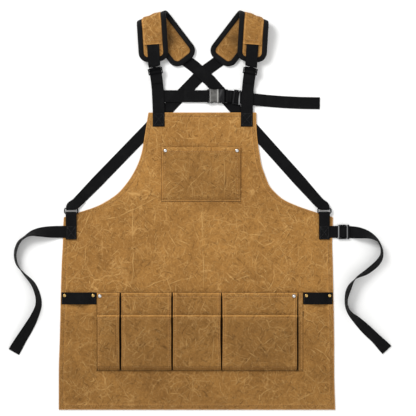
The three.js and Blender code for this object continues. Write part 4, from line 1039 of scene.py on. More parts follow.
def catmull(points, count):
    """A smooth curve through points, evenly stepped from each to the next."""
    points = np.array(points, float)
    last = len(points) - 1
    curve = []
    for k in range(count + 1):
        place = last * k / count
        i = min(int(place), last - 1)
        w = place - i
        p1, p2 = points[i], points[i + 1]
        p0 = points[i - 1] if i > 0 else 2 * points[0] - points[1]
        p3 = points[i + 2] if i + 2 <= last else 2 * points[last] - points[last - 1]
        dt0, dt1, dt2 = (max(((b - a) ** 2).sum() ** 0.25, 1e-4) for a, b in ((p0, p1), (p1, p2), (p2, p3)))
        t1 = ((p1 - p0) / dt0 - (p2 - p0) / (dt0 + dt1) + (p2 - p1) / dt1) * dt1
        t2 = ((p2 - p1) / dt1 - (p3 - p1) / (dt1 + dt2) + (p3 - p2) / dt2) * dt1
        c2 = -3 * p1 + 3 * p2 - 2 * t1 - t2
        c3 = 2 * p1 - 2 * p2 + t1 + t2
        curve.append(p1 + t1 * w + c2 * w * w + c3 * w**3)
    return np.array(curve)


def level(points):
    """Stations along a route, level across."""
    points = np.array(points, float)
    before = np.concatenate([points[:1], points[:-1]])
    after = np.concatenate([points[1:], points[-1:]])
    heading = after - before
    heading[:, 2] = 0
    heading = unit(heading)
    across = np.stack([heading[:, 1], -heading[:, 0], np.zeros(len(points))], 1)
    return [{"at": at, "across": side, "narrow": 1.0} for at, side in zip(points, across)]


def wrapped(stations, radius, back_count):
    """The strap goes under a bar, round it and back over the top."""
    last, before = stations[-1], stations[-2]
    heading = last["at"] - before["at"]
    heading[2] = 0
    heading = unit(heading)
    centre = last["at"] + np.array([0, 0, radius])
    turn = []
    for i in range(1, 12):
        angle = -math.pi / 2 + math.pi * i / 12
        at = centre + heading * radius * math.cos(angle)
        at[2] += radius * math.sin(angle)
        turn.append({**last, "at": at})
    top = last["at"] + np.array([0, 0, 2 * radius])
    over_bar = [{**last, "at": top - heading * back} for back in (0, RING_BAR)]
    over = []
    for station in stations[-1 - back_count:-1][::-1]:
        lie = max(2 * radius - 0.5 * np.linalg.norm(station["at"] - last["at"]), STRAP_WALL + GAP)
        over.append({**station, "at": station["at"] + np.array([0, 0, lie])})
    return [*stations, *turn, *over_bar, *over]


def softened(values, reach):
    """Values along a strap with their sharp turns rounded."""
    kernel = np.exp(-0.5 * (np.arange(-6, 7) / reach) ** 2)
    kernel /= kernel.sum()
    padded = np.concatenate([2 * values[:1] - values[6:0:-1], values, 2 * values[-1:] - values[-2:-8:-1]])
    return np.stack([np.convolve(padded[:, k], kernel, "valid") for k in range(values.shape[1])], 1)


# Half of the webbing's section: out is a share of the half width, high a share of the half wall
SECTION = [
    {"out": 1.0, "high": 0.0},
    {"out": 0.99, "high": 0.62},
    {"out": 0.955, "high": 1.0},
    {"out": 0.87, "high": 1.0},
    {"out": 0.82, "high": 0.86},
    {"out": 0.4, "high": 0.94},
]


def strap(name, stations, nodes, width=STRAP_WIDTH, side=1, step=1.6):
    """Webbing along stations; side mirrors it about the neck's centre."""
    at = np.array([s["at"] for s in stations])
    across = np.array([s["across"] for s in stations])
    narrow = np.array([s["narrow"] for s in stations])
    length = lengths_along(at)
    count = max(int(length[-1] / step), 8)
    v = np.linspace(0, length[-1], count + 1)
    data = np.stack([np.interp(v, length, column) for column in (*at.T, *across.T, narrow)], 1)
    data = softened(data, 0.8)
    at, across, narrow = data[:, :3], unit(data[:, 3:6]), data[:, 6]
    tangent = unit(np.gradient(at, axis=0))
    across = unit(across - (across * tangent).sum(1, keepdims=True) * tangent)
    normal = unit(np.cross(across, tangent))
    half = [(r["out"], r["high"]) for r in SECTION]
    ring = half + [(0.0, 0.97)] + [(-o, h) for o, h in half[::-1]]
    ring += [(-o, -h) for o, h in half[1:]]
    ring += [(0.0, -0.97)] + [(o, -h) for o, h in half[:0:-1]]
    ring = np.array(ring)
    rows, columns = len(at), len(ring)
    out = ring[None, :, 0] * narrow[:, None] * width / 2
    high = np.broadcast_to(ring[None, :, 1] * HALF_WALL, out.shape)
    points = at[:, None] + across[:, None] * out[..., None] + normal[:, None] * high[..., None]
    points = points.reshape(-1, 3)
    faces = []
    for i in range(rows - 1):
        a = i * columns
        for j in range(columns):
            k = (j + 1) % columns
            faces.append((a + j, a + k, a + columns + k, a + columns + j))
    faces.append(tuple(range(columns))[::-1])
    faces.append(tuple((rows - 1) * columns + j for j in range(columns)))
    u = np.broadcast_to((ring[None, :, 0] * width / 2 + 20) / 10, (rows, columns))
    vv = np.broadcast_to(v[:, None] / 10, (rows, columns))
    uvs = np.stack([u, vv], 2).reshape(-1, 2)
    if side < 0:
        points[:, 0] = 2 * NECK_CENTRE - points[:, 0]
    return make(name, points, faces, WEBBING, nodes, uvs, flipped=side > 0)


def bow_at(distance, length):
    flat = 8 + 4.6 + 1.4
    inward = np.minimum(distance, length - distance)
    share = np.clip((inward - flat) / (length / 2 - flat), 0, 1)
    return 6.5 * np.sin(share * math.pi / 2) ** 0.8


loop_pieces = {}
for word, side in (("left", -1), ("right", 1)):
    outer = float(body_edge(side, LOOP_TOP / BODY_LENGTH)) - side * 1
    inner = side * (PANEL_WIDTH / 2 + 1.5)
    start, length = min(outer, inner), abs(outer - inner)
    middle = LOOP_TOP - STRAP_WIDTH / 2
    distance = np.linspace(0, length, 60)
    route = np.stack([start + distance, np.full(60, middle),
                      CLOTH + GAP + HALF_WALL + bow_at(distance, length)], 1)
    loop_pieces[word] = strap(f"tool_loop_webbing_{word}", level(route), [f"tool_loop_{word}"])

RING_HEIGHT = CLOTH + GAP + HALF_WALL + WRAP_RADIUS
LOWER_BAR = TAB_TOP - RING_DEPTH + RING_BAR / 2
UPPER_BAR = TAB_TOP - RING_BAR / 2


def tab_centre(side):
    shares = BODY_LEFT if side < 0 else BODY_RIGHT
    return float(side * HEM_HALF * np.interp(TIE_HEIGHT / BODY_LENGTH, BODY_UP, shares)) - side * TAB_INSET


tab_pieces = {}
for word, side in (("left", -1), ("right", 1)):
    x = tab_centre(side)
    low_end = TIE_HEIGHT + STRAP_WIDTH / 2 + 2 * GAP
    route = [(x, y, RING_HEIGHT - WRAP_RADIUS) for y in (low_end, (low_end + LOWER_BAR) / 2, LOWER_BAR)]
    loop = wrapped(level(route), WRAP_RADIUS, 0)
    lie = CLOTH + 2 * GAP + STRAP_WALL + HALF_WALL
    ends = [{"at": np.array([x, y, lie]), "across": loop[0]["across"], "narrow": 1.0}
            for y in (low_end - 2, TAB_TOP - TAB_LENGTH)]
    tab_pieces[word] = strap(f"side_tab_webbing_{word}", [*loop, *ends], [f"side_tab_{word}"], TAB_WIDTH)

# Waist ties: out and down are shares of the reach and drop, roll is the turn off flat in degrees
LEFT_TIE = [(-0.07, 0, 0), (0.07, 0, 0), (0.3, 0, 20), (0.51, 0.003, 45), (0.67, 0.015, 68), (0.79, 0.045, 80),
            (0.9, 0.09, 74), (0.965, 0.18, 74), (0.93, 0.27, 78), (0.81, 0.34, 90), (0.625, 0.43, 104),
            (0.53, 0.53, 110), (0.52, 0.61, 116), (0.595, 0.7, 127), (0.72, 0.8, 142), (0.865, 0.9, 152),
            (1, 1, 178)]
RIGHT_TIE = [(-0.07, 0, 0), (0.07, 0, 0), (0.24, 0, 0), (0.37, 0.003, 0), (0.52, 0.01, 26), (0.72, 0.035, 62),
             (0.845, 0.08, 80), (0.905, 0.175, 74), (0.855, 0.245, 62), (0.665, 0.33, 62), (0.445, 0.395, 84),
             (0.33, 0.48, 106), (0.28, 0.59, 98), (0.325, 0.67, 104), (0.48, 0.75, 129), (0.645, 0.83, 145),
             (0.84, 0.92, 148), (1, 1, 178)]


def tie_stations(table, side, reach, drop):
    edge = tab_centre(side) + side * TAB_WIDTH / 2
    points = [(edge + side * out * reach, TIE_HEIGHT - down * drop, math.radians(roll))
              for out, down, roll in table]
    curve = catmull(points, 260)
    flat_until = edge + side * 0.3 * reach
    on_body = CLOTH + GAP + HALF_WALL if side < 0 else 1.8 + GAP + HALF_WALL
    stations = []
    for station in level(curve):
        at = station["at"].copy()
        roll = max(at[2], 0)
        stand = STRAP_WIDTH / 2 * abs(math.sin(roll)) + HALF_WALL * abs(math.cos(roll))
        if side * (flat_until - at[0]) > 0 and at[1] > TIE_HEIGHT - 1:
            stand = max(stand, on_body)
        across = station["across"] * math.cos(roll)
        across[2] = side * math.sin(roll)
        at[2] = stand
        stations.append({"at": at, "across": across, "narrow": 1.0})
    return stations


strap("waist_tie_webbing_left", tie_stations(LEFT_TIE, -1, 130, 300), ["waist_tie_left"], step=2.0)
strap("waist_tie_webbing_right", tie_stations(RIGHT_TIE, 1, 143, 295), ["waist_tie_right"], step=2.0)


# Shoulder pads: strip coordinates run across and along the pad, with zero along it at the fold
SLANT, LEAN, FOLD = (math.radians(a) for a in (16.8, 13, 20.5))
FOLD_LINE = np.array([math.cos(FOLD), math.sin(FOLD), 0])
ACROSS_FOLD = np.array([-math.sin(FOLD), math.cos(FOLD), 0])
PAD_HALF, PAD_CORNER = 37.0, 24.0
FRONT_PAD, BACK_PAD = 122.0, 148.0
CORE_HALF, SWELL, BINDING_WALL, BINDING_WIDTH = 2.5, 1.0, 1.0, 12.8
BINDING_HALF = CORE_HALF + GAP + BINDING_WALL
BACK_HEIGHT = STRAP_WALL + GAP + BINDING_HALF
COVER_HEM, COVER_WALL, TUCK_IN = 48.0, 1.2, 13.0


def pad_outline(inset=0.0, count=10):
    """The pad's rounded outline with its outward normals, anticlockwise."""
    corner = PAD_CORNER
    centres = [(PAD_HALF - corner, BACK_PAD - corner, 0), (-PAD_HALF + corner, BACK_PAD - corner, 1),
               (-PAD_HALF + corner, -FRONT_PAD + corner, 2), (PAD_HALF - corner, -FRONT_PAD + corner, 3)]
    points, normals = [], []
    for cx, cy, quarter in centres:
        for k in range(count + 1):
            angle = (quarter + k / count) * math.pi / 2
            normal = np.array([math.cos(angle), math.sin(angle)])
            points.append(np.array([cx, cy]) + normal * corner)
            normals.append(normal)
    return np.array(points) - inset * np.array(normals), np.array(normals)


def to_fold(x, y):
    return x * math.cos(SLANT) + y * math.sin(SLANT), -x * math.sin(SLANT) + y * math.cos(SLANT)


outline_q = to_fold(*pad_outline()[0].T)[1]
FIRST_Q = outline_q.min()
ARC_SHARE = 1 + math.cos(LEAN) + (math.pi / 2 + LEAN) * math.sin(LEAN)
FRONT_HEIGHT = BACK_HEIGHT + 2 * BINDING_HALF + GAP
FOLD_RADIUS = (-FIRST_Q * math.sin(LEAN) + FRONT_HEIGHT - BACK_HEIGHT) / ARC_SHARE
FOLD_CENTRE = BACK_HEIGHT + FOLD_RADIUS
ARC_START = -FOLD_RADIUS * (math.pi / 2 + LEAN)
ARC_END = FOLD_RADIUS * math.pi / 2
PAD_ORIGIN = np.array([-120.5, BODY_LENGTH + 224, 0])


def on_pad(t, q, height):
    """A place over the pad's middle surface."""
    t, q, height = np.broadcast_arrays(*(np.asarray(v, float) for v in (t, q, height)))
    angle = np.minimum(-q / FOLD_RADIUS, math.pi / 2 + LEAN)
    beyond = np.minimum(q - ARC_START, 0)
    flat = q > ARC_END
    na = np.where(flat, 0, np.cos(angle))
    nz = np.where(flat, -1, np.sin(angle))
    a = np.where(flat, ARC_END - q, FOLD_RADIUS * np.cos(angle) + beyond * math.cos(LEAN))
    z = np.where(flat, BACK_HEIGHT, FOLD_CENTRE + FOLD_RADIUS * np.sin(angle) + beyond * math.sin(LEAN))
    point = PAD_ORIGIN + FOLD_LINE * t[..., None] + ACROSS_FOLD * (a + na * height)[..., None]
    point[..., 2] = z + nz * height
    return point


def mirrored(points, side):
    points = np.array(points, float)
    if side < 0:
        points[..., 0] *= -1
    points[..., 0] += NECK_CENTRE
    return points


def pad_span(inset, y):
    """Half width of the pad's rounded outline at a place along it."""
    half, corner = PAD_HALF - inset, max(PAD_CORNER - inset, 1)
    low, high = -FRONT_PAD + inset + corner, BACK_PAD - inset - corner
    dy = np.maximum(np.maximum(low - y, y - high), 0)
    return half - corner + np.sqrt(np.maximum(corner**2 - dy**2, 0))


def end_steps(low, high, count):
    """Stations that draw together towards both rounded ends."""
    ends = (1 - np.cos(np.linspace(0, math.pi / 2, 9))) * PAD_CORNER
    middle = np.linspace(low + PAD_CORNER, high - PAD_CORNER, count)[1:-1]
    return np.concatenate([low + ends, middle, (high - ends)[::-1]])


def build_pad(word, side):
    inset = BINDING_WALL + GAP
    y = end_steps(-FRONT_PAD + inset, BACK_PAD - inset, 60)
    s = np.sin(np.linspace(-math.pi / 2, math.pi / 2, 19))
    yy, ss = np.meshgrid(y, s, indexing="ij")
    xx = ss * pad_span(inset, yy)
    t, q = to_fold(xx, yy)
    from_edge = np.minimum(np.minimum(pad_span(0, yy) - np.abs(xx), yy + FRONT_PAD), BACK_PAD - yy)
    swell = (SWELL + 0.7) * smooth((from_edge - BINDING_WIDTH) / 14)
    quilted = 0.45 * np.sin(yy / 17 + 0.7) * np.sin(xx / 15 + 1.1) * smooth((from_edge - BINDING_WIDTH) / 8)
    bend = smooth(1 - np.abs(q - (ARC_START + ARC_END) / 2) / (ARC_END - ARC_START))
    pucker = 0.7 * bend * np.sin(xx / 5.2) * smooth((from_edge - BINDING_WIDTH) / 6)
    rounded = CORE_HALF * np.sqrt(np.clip(from_edge - inset, 0, 2) / 2)
    low_height = -(rounded + swell + quilted + pucker)
    high_height = rounded + np.minimum(swell, SWELL)
    low, high = (mirrored(on_pad(t, q, h), side) for h in (low_height, high_height))
    rows, columns = yy.shape
    points = np.concatenate([low.reshape(-1, 3), high.reshape(-1, 3)])
    faces = grid_faces(rows, columns, rows * columns) + grid_faces(rows, columns, 0, True)
    faces += rim_faces(rows, columns, 0, rows * columns)
    spot = np.append(page(171, 40), 0) - (NECK_CENTRE, 0, 0)
    flat_place = on_pad(t, q, low_height)
    near = np.hypot(flat_place[..., 0] - spot[0], flat_place[..., 1] - spot[1])
    shade = 0.15 + 0.5 * bell(from_edge - BINDING_WIDTH, 2.0) + 0.42 * bell(near, 19)
    shade = np.concatenate([shade.ravel(), np.full(shade.size, 0.05)])
    edge_wear = 0.8 * bell(from_edge - BINDING_WIDTH - 2.4, 1.4).ravel()
    core = make(f"pad_lining_{word}", points, faces, CANVAS, [f"pad_core_{word}"],
                wear=np.tile(edge_wear, 2), seam_shade=np.zeros(len(points)), shade=np.clip(shade, 0, 1),
                flipped=side < 0)

    path, normals = pad_outline(count=14)
    dense, dense_normals = [], []
    for k in range(len(path)):
        nxt = (k + 1) % len(path)
        pieces = max(int(np.linalg.norm(path[nxt] - path[k]) / 3.5), 1)
        for m in range(pieces):
            w = m / pieces
            dense.append(path[k] * (1 - w) + path[nxt] * w)
            dense_normals.append(unit(normals[k] * (1 - w) + normals[nxt] * w))
    dense, dense_normals = np.array(dense), np.array(dense_normals)
    inner = CORE_HALF + GAP
    upper = [(BINDING_WIDTH, inner), (BINDING_WIDTH + 0.1, inner + 0.5),
             (BINDING_WIDTH - 0.4, BINDING_HALF + 0.05), (9, BINDING_HALF + 0.25), (4, BINDING_HALF + 0.1),
             (1.6, BINDING_HALF - 0.5), (0.5, 2.2), (0.05, 0.8)]
    hollow = [(2.2, -inner), (1.1, -1.6), (1.1, 1.6), (2.2, inner)]
    profile = np.array(upper + [(inward, -high) for inward, high in upper[::-1]] + hollow)
    away = dense[:, None] - dense_normals[:, None] * profile[None, :, :1]
    t, q = to_fold(away[..., 0], away[..., 1])
    points = mirrored(on_pad(t, q, np.broadcast_to(profile[None, :, 1], t.shape)), side)
    rows, columns = t.shape
    faces = []
    for i in range(rows):
        a, b = i * columns, (i + 1) % rows * columns
        for j in range(columns):
            k = (j + 1) % columns
            faces.append((a + j, b + j, b + k, a + k))
    length = lengths_along(dense)
    around = lengths_along(profile)
    uvs = np.stack([np.broadcast_to(far / 10, t.shape) for far in (around[None, :], length[:, None])], 2)
    make(f"pad_edging_{word}", points.reshape(-1, 3), faces, BINDING, [f"pad_binding_{word}"],
         uvs.reshape(-1, 2), flipped=side > 0)


STRAP_ON_PAD = CORE_HALF + SWELL + BINDING_WALL + 2 * GAP
HEM_RISE = FIRST_Q + COVER_HEM + TUCK_IN + 8
HEM_END = HEM_RISE + 14


COVER_HALF = PAD_HALF - BINDING_WIDTH - GAP
COVER_LOW = (FIRST_Q + COVER_HEM) / math.cos(SLANT)
COVER_DOUBLED = 9.8


def build_cover(word, side):
    hem_rows = np.array([0, 0.8, 2, 3, 4.5, 7, 9, COVER_DOUBLED, 10.6, 12])
    ends = np.array([0, 0.02, 0.05, 0.08, 0.12])
    s = np.concatenate([ends, np.linspace(0.12, 0.88, 19)[1:-1], 1 - ends[::-1]])
    x_pad = COVER_HALF * (2 * s - 1)[None, :]
    far = (ARC_END * 0.8 + x_pad * math.sin(SLANT)) / math.cos(SLANT)
    steps = np.linspace(0, 1, 58)[1:, None]
    low = np.broadcast_to(COVER_LOW + hem_rows[:, None], (len(hem_rows), len(s)))
    y_pad = np.concatenate([low, COVER_LOW + hem_rows[-1] + (far - COVER_LOW - hem_rows[-1]) * steps])
    x_pad = np.broadcast_to(x_pad, y_pad.shape)
    t, q = to_fold(x_pad, y_pad)
    edge = np.broadcast_to(np.minimum(s, 1 - s)[None, :], q.shape)
    swollen = CORE_HALF + GAP + SWELL * np.sqrt(np.clip(4 * edge * (1 - edge), 0, 1))
    over_strap = STRAP_ON_PAD + STRAP_WALL + GAP
    lift = smooth((HEM_END - q) / (HEM_END - HEM_RISE)) * smooth(edge / 0.1)
    height = swollen * (1 - lift) + over_strap * lift + COVER_WALL / 2
    body = smooth(edge / 0.12)
    bend = smooth(1 - np.abs(q - (ARC_START + ARC_END) / 2 + 8) / (ARC_END - ARC_START))
    waves = 0.4 * (1 + np.sin(x_pad / 9 + side) * np.sin(y_pad / 13))
    waves = waves + 0.8 * bend * (1 + np.sin(x_pad / 4.6 + 0.8 * np.sin(y_pad / 9)))
    height = height + waves * body * (1 - lift)
    grid = mirrored(on_pad(t, q, height), side)
    from_hem = y_pad - COVER_LOW
    if side < 0:
        grid, edge, from_hem = grid[:, ::-1], edge[:, ::-1], from_hem[:, ::-1]
    grid, edge, from_hem = grid[::-1], edge[::-1], from_hem[::-1]
    hem = 0.5 * smooth((11 - from_hem) / 1.2) - 0.25 * bell(from_hem - COVER_DOUBLED, 0.7)
    wear = 0.9 * bell(from_hem, 2.0) + 0.3 * bell(from_hem - 11.2, 0.8)
    wear = wear + 0.75 * bell(edge * 2 * COVER_HALF - 2.4, 1.4)
    # Painted shade along the hem's stitch line and the sides where the cover meets the binding
    seam_shade = 0.5 * bell(from_hem - COVER_DOUBLED, 0.6) + 0.6 * bell(edge * 2 * COVER_HALF, 1.2)
    piece = cloth(f"pad_cover_cloth_{word}", grid, COVER_WALL / 2, COVER_WALL / 2 + np.maximum(hem, -0.25),
                  [f"pad_cover_{word}"], np.minimum(wear, 1), np.minimum(seam_shade, 1), 0.02)
    return piece


def front_stations():
    along = []
    for step in (TUCK_IN + COVER_HEM, COVER_HEM, COVER_HEM / 2, 14, -4):
        q = FIRST_Q + step
        t = q * math.tan(SLANT)
        height = STRAP_ON_PAD + HALF_WALL
        at = on_pad(t, q, height)
        ahead = on_pad(t + math.cos(SLANT), q - math.sin(SLANT), height)
        along.append({"at": at, "across": unit(ahead - at), "narrow": 1.0})
    end = along[-1]["at"]
    foot = np.array([-110.0, BODY_LENGTH - 35, BIB_TOP + GAP + HALF_WALL])
    over_chest = CROSS_HEIGHT + STRAP_WALL + GAP
    chest_top = BODY_LENGTH + 41 + STRAP_WIDTH / 2 + 2
    slider_top = BODY_LENGTH + 103 + 7.5
    slope = (end[2] - over_chest) / (end[1] - chest_top)
    free = [
        (slider_top, over_chest + slope * (slider_top - chest_top)),
        (slider_top - 15, over_chest + slope * (slider_top - 15 - chest_top)),
        ((slider_top - 15 + chest_top) / 2, over_chest + slope * (slider_top - 15 - chest_top) / 2),
        (chest_top, over_chest),
        (BODY_LENGTH + 41 - STRAP_WIDTH / 2 - 2 - 7, over_chest),
        (BODY_LENGTH + 2, foot[2]),
        (foot[1], foot[2]),
    ]
    points = [end]
    for y, z in free:
        share = (end[1] - y) / (end[1] - foot[1])
        points.append(np.array([end[0] + (foot[0] - end[0]) * (1 - (1 - share) ** 3), y, z]))
    return [*along, *level(points)[1:]]


FRONT = front_stations()


def strap_frame(y):
    """Place and directions of the front strap at a height up the apron."""
    k = next(i for i, s in enumerate(FRONT) if s["at"][1] < y)
    low, high = FRONT[k], FRONT[k - 1]
    share = (high["at"][1] - y) / (high["at"][1] - low["at"][1])
    at = high["at"] * (1 - share) + low["at"] * share
    along = unit(low["at"] - high["at"])
    across = unit(low["across"] - along * (low["across"] @ along))
    return at, across, unit(np.cross(across, along))


cover_pieces, front_pieces = {}, {}
for word, side in (("left", 1), ("right", -1)):
    build_pad(word, side)
    cover_pieces[word] = build_cover(word, side)
    placed = [{**s, "at": s["at"] + np.array([NECK_CENTRE, 0, 0])} for s in FRONT]
    front_pieces[word] = strap(f"front_strap_webbing_{word}", placed, [f"front_strap_{word}"], side=side)
    tail = []
    for share in (0, 0.5, 1):
        at, across, normal = strap_frame(BODY_LENGTH + 103 - share * 30)
        at = at + normal * (STRAP_WALL + GAP) + np.array([NECK_CENTRE, 0, 0])
        tail.append({"at": at, "across": across, "narrow": 1.0})
    strap(f"strap_tail_webbing_{word}", tail, [f"strap_tail_{word}"], side=side)


# Crossed back straps: the one from the left pad lies over the other
def back_stations(pad_side, ring_side, over):
    pad_end = on_pad(BACK_PAD * math.sin(SLANT), BACK_PAD * math.cos(SLANT), 0)
    exit_at = np.array([NECK_CENTRE - pad_side * pad_end[0], pad_end[1], HALF_WALL])
    cross = np.array([NECK_CENTRE, BODY_LENGTH + 100, HALF_WALL])
    ring = np.array([tab_centre(ring_side), UPPER_BAR, HALF_WALL])
    reach, ramp = STRAP_WIDTH * 0.9, 14

    def away(a, b, distance):
        return a + (b - a) * distance / np.linalg.norm(b - a)

    def raised(point):
        return np.array([point[0], point[1], HALF_WALL + STRAP_WALL + GAP])

    turn = away(ring, cross, 92)
    middle = [cross]
    if over:
        middle = [away(cross, exit_at, reach + ramp), raised(away(cross, exit_at, reach)),
                  raised(away(cross, turn, reach)), away(cross, turn, reach + ramp)]
    straight = level([exit_at + (exit_at - cross) * 0.55, *middle, turn])
    across = straight[-1]["across"]
    flat = np.array([-1.0, 0, 0])
    skewed = []
    for share in (0.2, 0.4, 0.6, 0.8, 0.92, 1):
        at = turn * (1 - share) + ring * share
        at[0] = at[0] if share < 0.92 else ring[0]
        at[2] = HALF_WALL if share < 0.8 else RING_HEIGHT - WRAP_RADIUS
        turned = unit(across * (1 - share) + flat * share)
        skewed.append({"at": at, "across": turned, "narrow": 1 - 0.16 * share})
    return [*straight, *skewed]


for word, pad_side, ring_side in (("left", -1, 1), ("right", 1, -1)):
    stations = wrapped(back_stations(pad_side, ring_side, pad_side < 0), WRAP_RADIUS, 3)
    strap(f"back_strap_webbing_{word}", stations, [f"back_strap_{word}"])

# Chest strap
CHEST_LINE = BODY_LENGTH + 41
FEMALE_LENGTH = 30.0
MALE_LENGTH = 21.5
HALF_BAR = 1.5
TAIL_REACH = 232.0
TAIL_START = 8.0
JOINT = 48.0
left_end = NECK_CENTRE - FOOT_SPACING - STRAP_WIDTH / 2
female_bar = JOINT - FEMALE_LENGTH + HALF_BAR
chest_left = [(left_end, CROSS_HEIGHT), (left_end + STRAP_WIDTH + 8, CROSS_HEIGHT),
              (female_bar - 60, CHEST_HEIGHT),
              (female_bar - 16, CHEST_HEIGHT), (female_bar - 8, CHEST_HEIGHT), (female_bar, CHEST_HEIGHT)]
stations = wrapped(level([(x, CHEST_LINE, z) for x, z in chest_left]), WRAP_RADIUS, 3)
strap("chest_webbing_left", stations, ["chest_strap_left"])

male_bar = JOINT + MALE_LENGTH - HALF_BAR
slider_x = JOINT + MALE_LENGTH + 23


def tail_swing(x):
    """The loose end of the chest strap bears away from the chest line."""
    share = min(max((x - male_bar - TAIL_START) / (TAIL_REACH - TAIL_START), 0), 1)
    return CHEST_LINE - 17.5 * (1 - (1 - share) ** 2)


front_edge = NECK_CENTRE + FOOT_SPACING + STRAP_WIDTH / 2 + 8
chest_right = [(male_bar + TAIL_REACH * share, HALF_WALL) for share in (1, 0.8, 0.6)]
chest_right += [(front_edge + 26, HALF_WALL), (front_edge, CROSS_HEIGHT), (slider_x + 9, CROSS_HEIGHT),
                (slider_x - 9, CROSS_HEIGHT), (slider_x - 13, CROSS_HEIGHT - GAP),
                (male_bar + 6, CHEST_HEIGHT), (male_bar, CHEST_HEIGHT)]
stations = wrapped(level([(x, tail_swing(x), z) for x, z in chest_right]), WRAP_RADIUS, 2)
strap("chest_webbing_right", stations, ["chest_strap_right"])


# Moulded fittings keep their solids, with rounded edges
def dress(node, material, radius, segments=2):
    solid = NODES[node]
    solid.data.materials.clear()
    solid.data.materials.append(material)
    weld = solid.modifiers.new("weld", "WELD")
    weld.merge_threshold = 0.00001
    bevel = solid.modifiers.new("round", "BEVEL")
    bevel.width = radius / 1000
    bevel.segments = segments
    bevel.limit_method = "ANGLE"
    bevel.angle_limit = math.radians(32)
    bevel.harden_normals = False
    solid.data.shade_smooth()


for node in ("strap_slider_left", "strap_slider_right"):
    dress(node, RING_PLASTIC, 0.45)
dress("waist_slider", SLIDER_PLASTIC, 0.45)
dress("chest_slider", CHEST_PLASTIC, 0.45)
for node in ("side_ring_left", "side_ring_right"):
    dress(node, RING_PLASTIC, 0.9, 3)
dress("buckle_female", BUCKLE_SHEEN_PLASTIC, 0.6, 3)
dress("buckle_male", BAR_PLASTIC, 0.45)


# Rivets: a domed head with a rolled rim
def rivet(node, material):
    low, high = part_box(node)
    centre = (low + high) / 2
    radius = (high.x - low.x) / 2 * 1000
    rise = (high.z - low.z) * 1000
    profile = [(0.0, 0.9), (0.25, 0.93), (0.42, 0.97), (0.55, 1.0), (0.68, 0.97), (0.82, 0.8),
               (0.92, 0.55), (1.0, 0.3),
               (1.0, 0.12), (0.96, 0.0)]
    turns = 28
    points, faces = [], []
    for share, high_share in profile[1:]:
        for k in range(turns):
            angle = 2 * math.pi * k / turns
            far = share * radius
            points.append((far * math.cos(angle), far * math.sin(angle), high_share * rise))
    top = len(points)
    points.append((0, 0, profile[0][1] * rise))
    points.append((0, 0, 0))
    rings = len(profile) - 1
    for i in range(rings - 1):
        for k in range(turns):
            m = (k + 1) % turns
            faces.append((i * turns + k, (i + 1) * turns + k, (i + 1) * turns + m, i * turns + m))
    for k in range(turns):
        m = (k + 1) % turns
        faces.append((top, k, m))
        faces.append((top + 1, (rings - 1) * turns + m, (rings - 1) * turns + k))
    shift = np.array([centre.x, centre.y, low.z]) * 1000 - ORIGIN
    return make(f"{node}_head", np.array(points) + shift, faces, material, [node])


for node in NODES:
    if node.startswith("rivet_loop"):
        rivet(node, BRASS)
    elif node.startswith("rivet_"):
        rivet(node, SILVER)


# Stitches lie on the piece that they sew
def tree_of(piece):
    mesh = piece.data
    return BVHTree.FromPolygons([v.co for v in mesh.vertices], [p.vertices for p in mesh.polygons])


def drop(tree, points):
    """Places on the top of a piece below points in millimetres."""
    found = []
    for p in metres(points):
        hit, normal, _, _ = tree.ray_cast(Vector((p[0], p[1], 0.1)), Vector((0, 0, -1)))
        if hit is not None:
            found.append((np.array(hit) * 1000 - ORIGIN, np.array(normal)))
    return found


def sew(name, runs, material=None, pitch=4.2, length=3.2, width=1.0, high=0.55):
    """Stitches along runs of (piece tree, points in millimetres)."""
    points, faces = [], []
    for tree, route in runs:
        route = np.array(route, float)
        if route.shape[1] == 2:
            route = np.concatenate([route, np.zeros((len(route), 1))], 1)
        along = lengths_along(route)
        count = int(along[-1] / pitch)
        if count < 1:
            continue
        starts = (np.arange(count) + 0.5) * along[-1] / count
        for middle in starts:
            ends = []
            for end in (middle - length / 2, middle + length / 2):
                ends.append(np.array([np.interp(end, along, column) for column in route.T]))
            if tree is None:
                a, b = ends
                normal = np.array([0, 0, 1.0])
            else:
                hits = drop(tree, ends)
                if len(hits) < 2:
                    continue
                (a, normal), (b, _) = hits
            run = unit(b - a)
            out = unit(np.cross(run, normal))
            up = unit(np.cross(out, run))
            centre = (a + b) / 2 + up * 0.1
            ring = [centre + out * width / 2, centre + up * high, centre - out * width / 2, centre - up * 0.2]
            first = len(points)
            points += [a - up * 0.15, b - up * 0.15, *ring]
            for k in range(4):
                m = (k + 1) % 4
                faces += [(first, first + 2 + k, first + 2 + m), (first + 1, first + 2 + m, first + 2 + k)]
    return make(name, points, faces, material or TAN_THREAD)


body_tree = tree_of(body_piece)


def edge_route(side, distance, low, high, count=160):
    y = np.linspace(low, high, count)
    edge = body_edge(side, y / BODY_LENGTH)
    slope = np.gradient(edge, y)
    stretch = np.minimum(np.hypot(1, slope), 1.9)
    return np.stack([edge - side * distance * stretch, y], 1)


runs = []
for distance in (2.8, 10.0):
    for side in (-1, 1):
        runs.append((body_tree, edge_route(side, distance, distance, BODY_LENGTH - distance)))
    for y in (distance, BODY_LENGTH - distance):
        half_left, half_right = body_edge(-1, y / BODY_LENGTH), body_edge(1, y / BODY_LENGTH)
        runs.append((body_tree, [(half_left + distance, y), (half_right - distance, y)]))
sew("hem_stitches", runs)

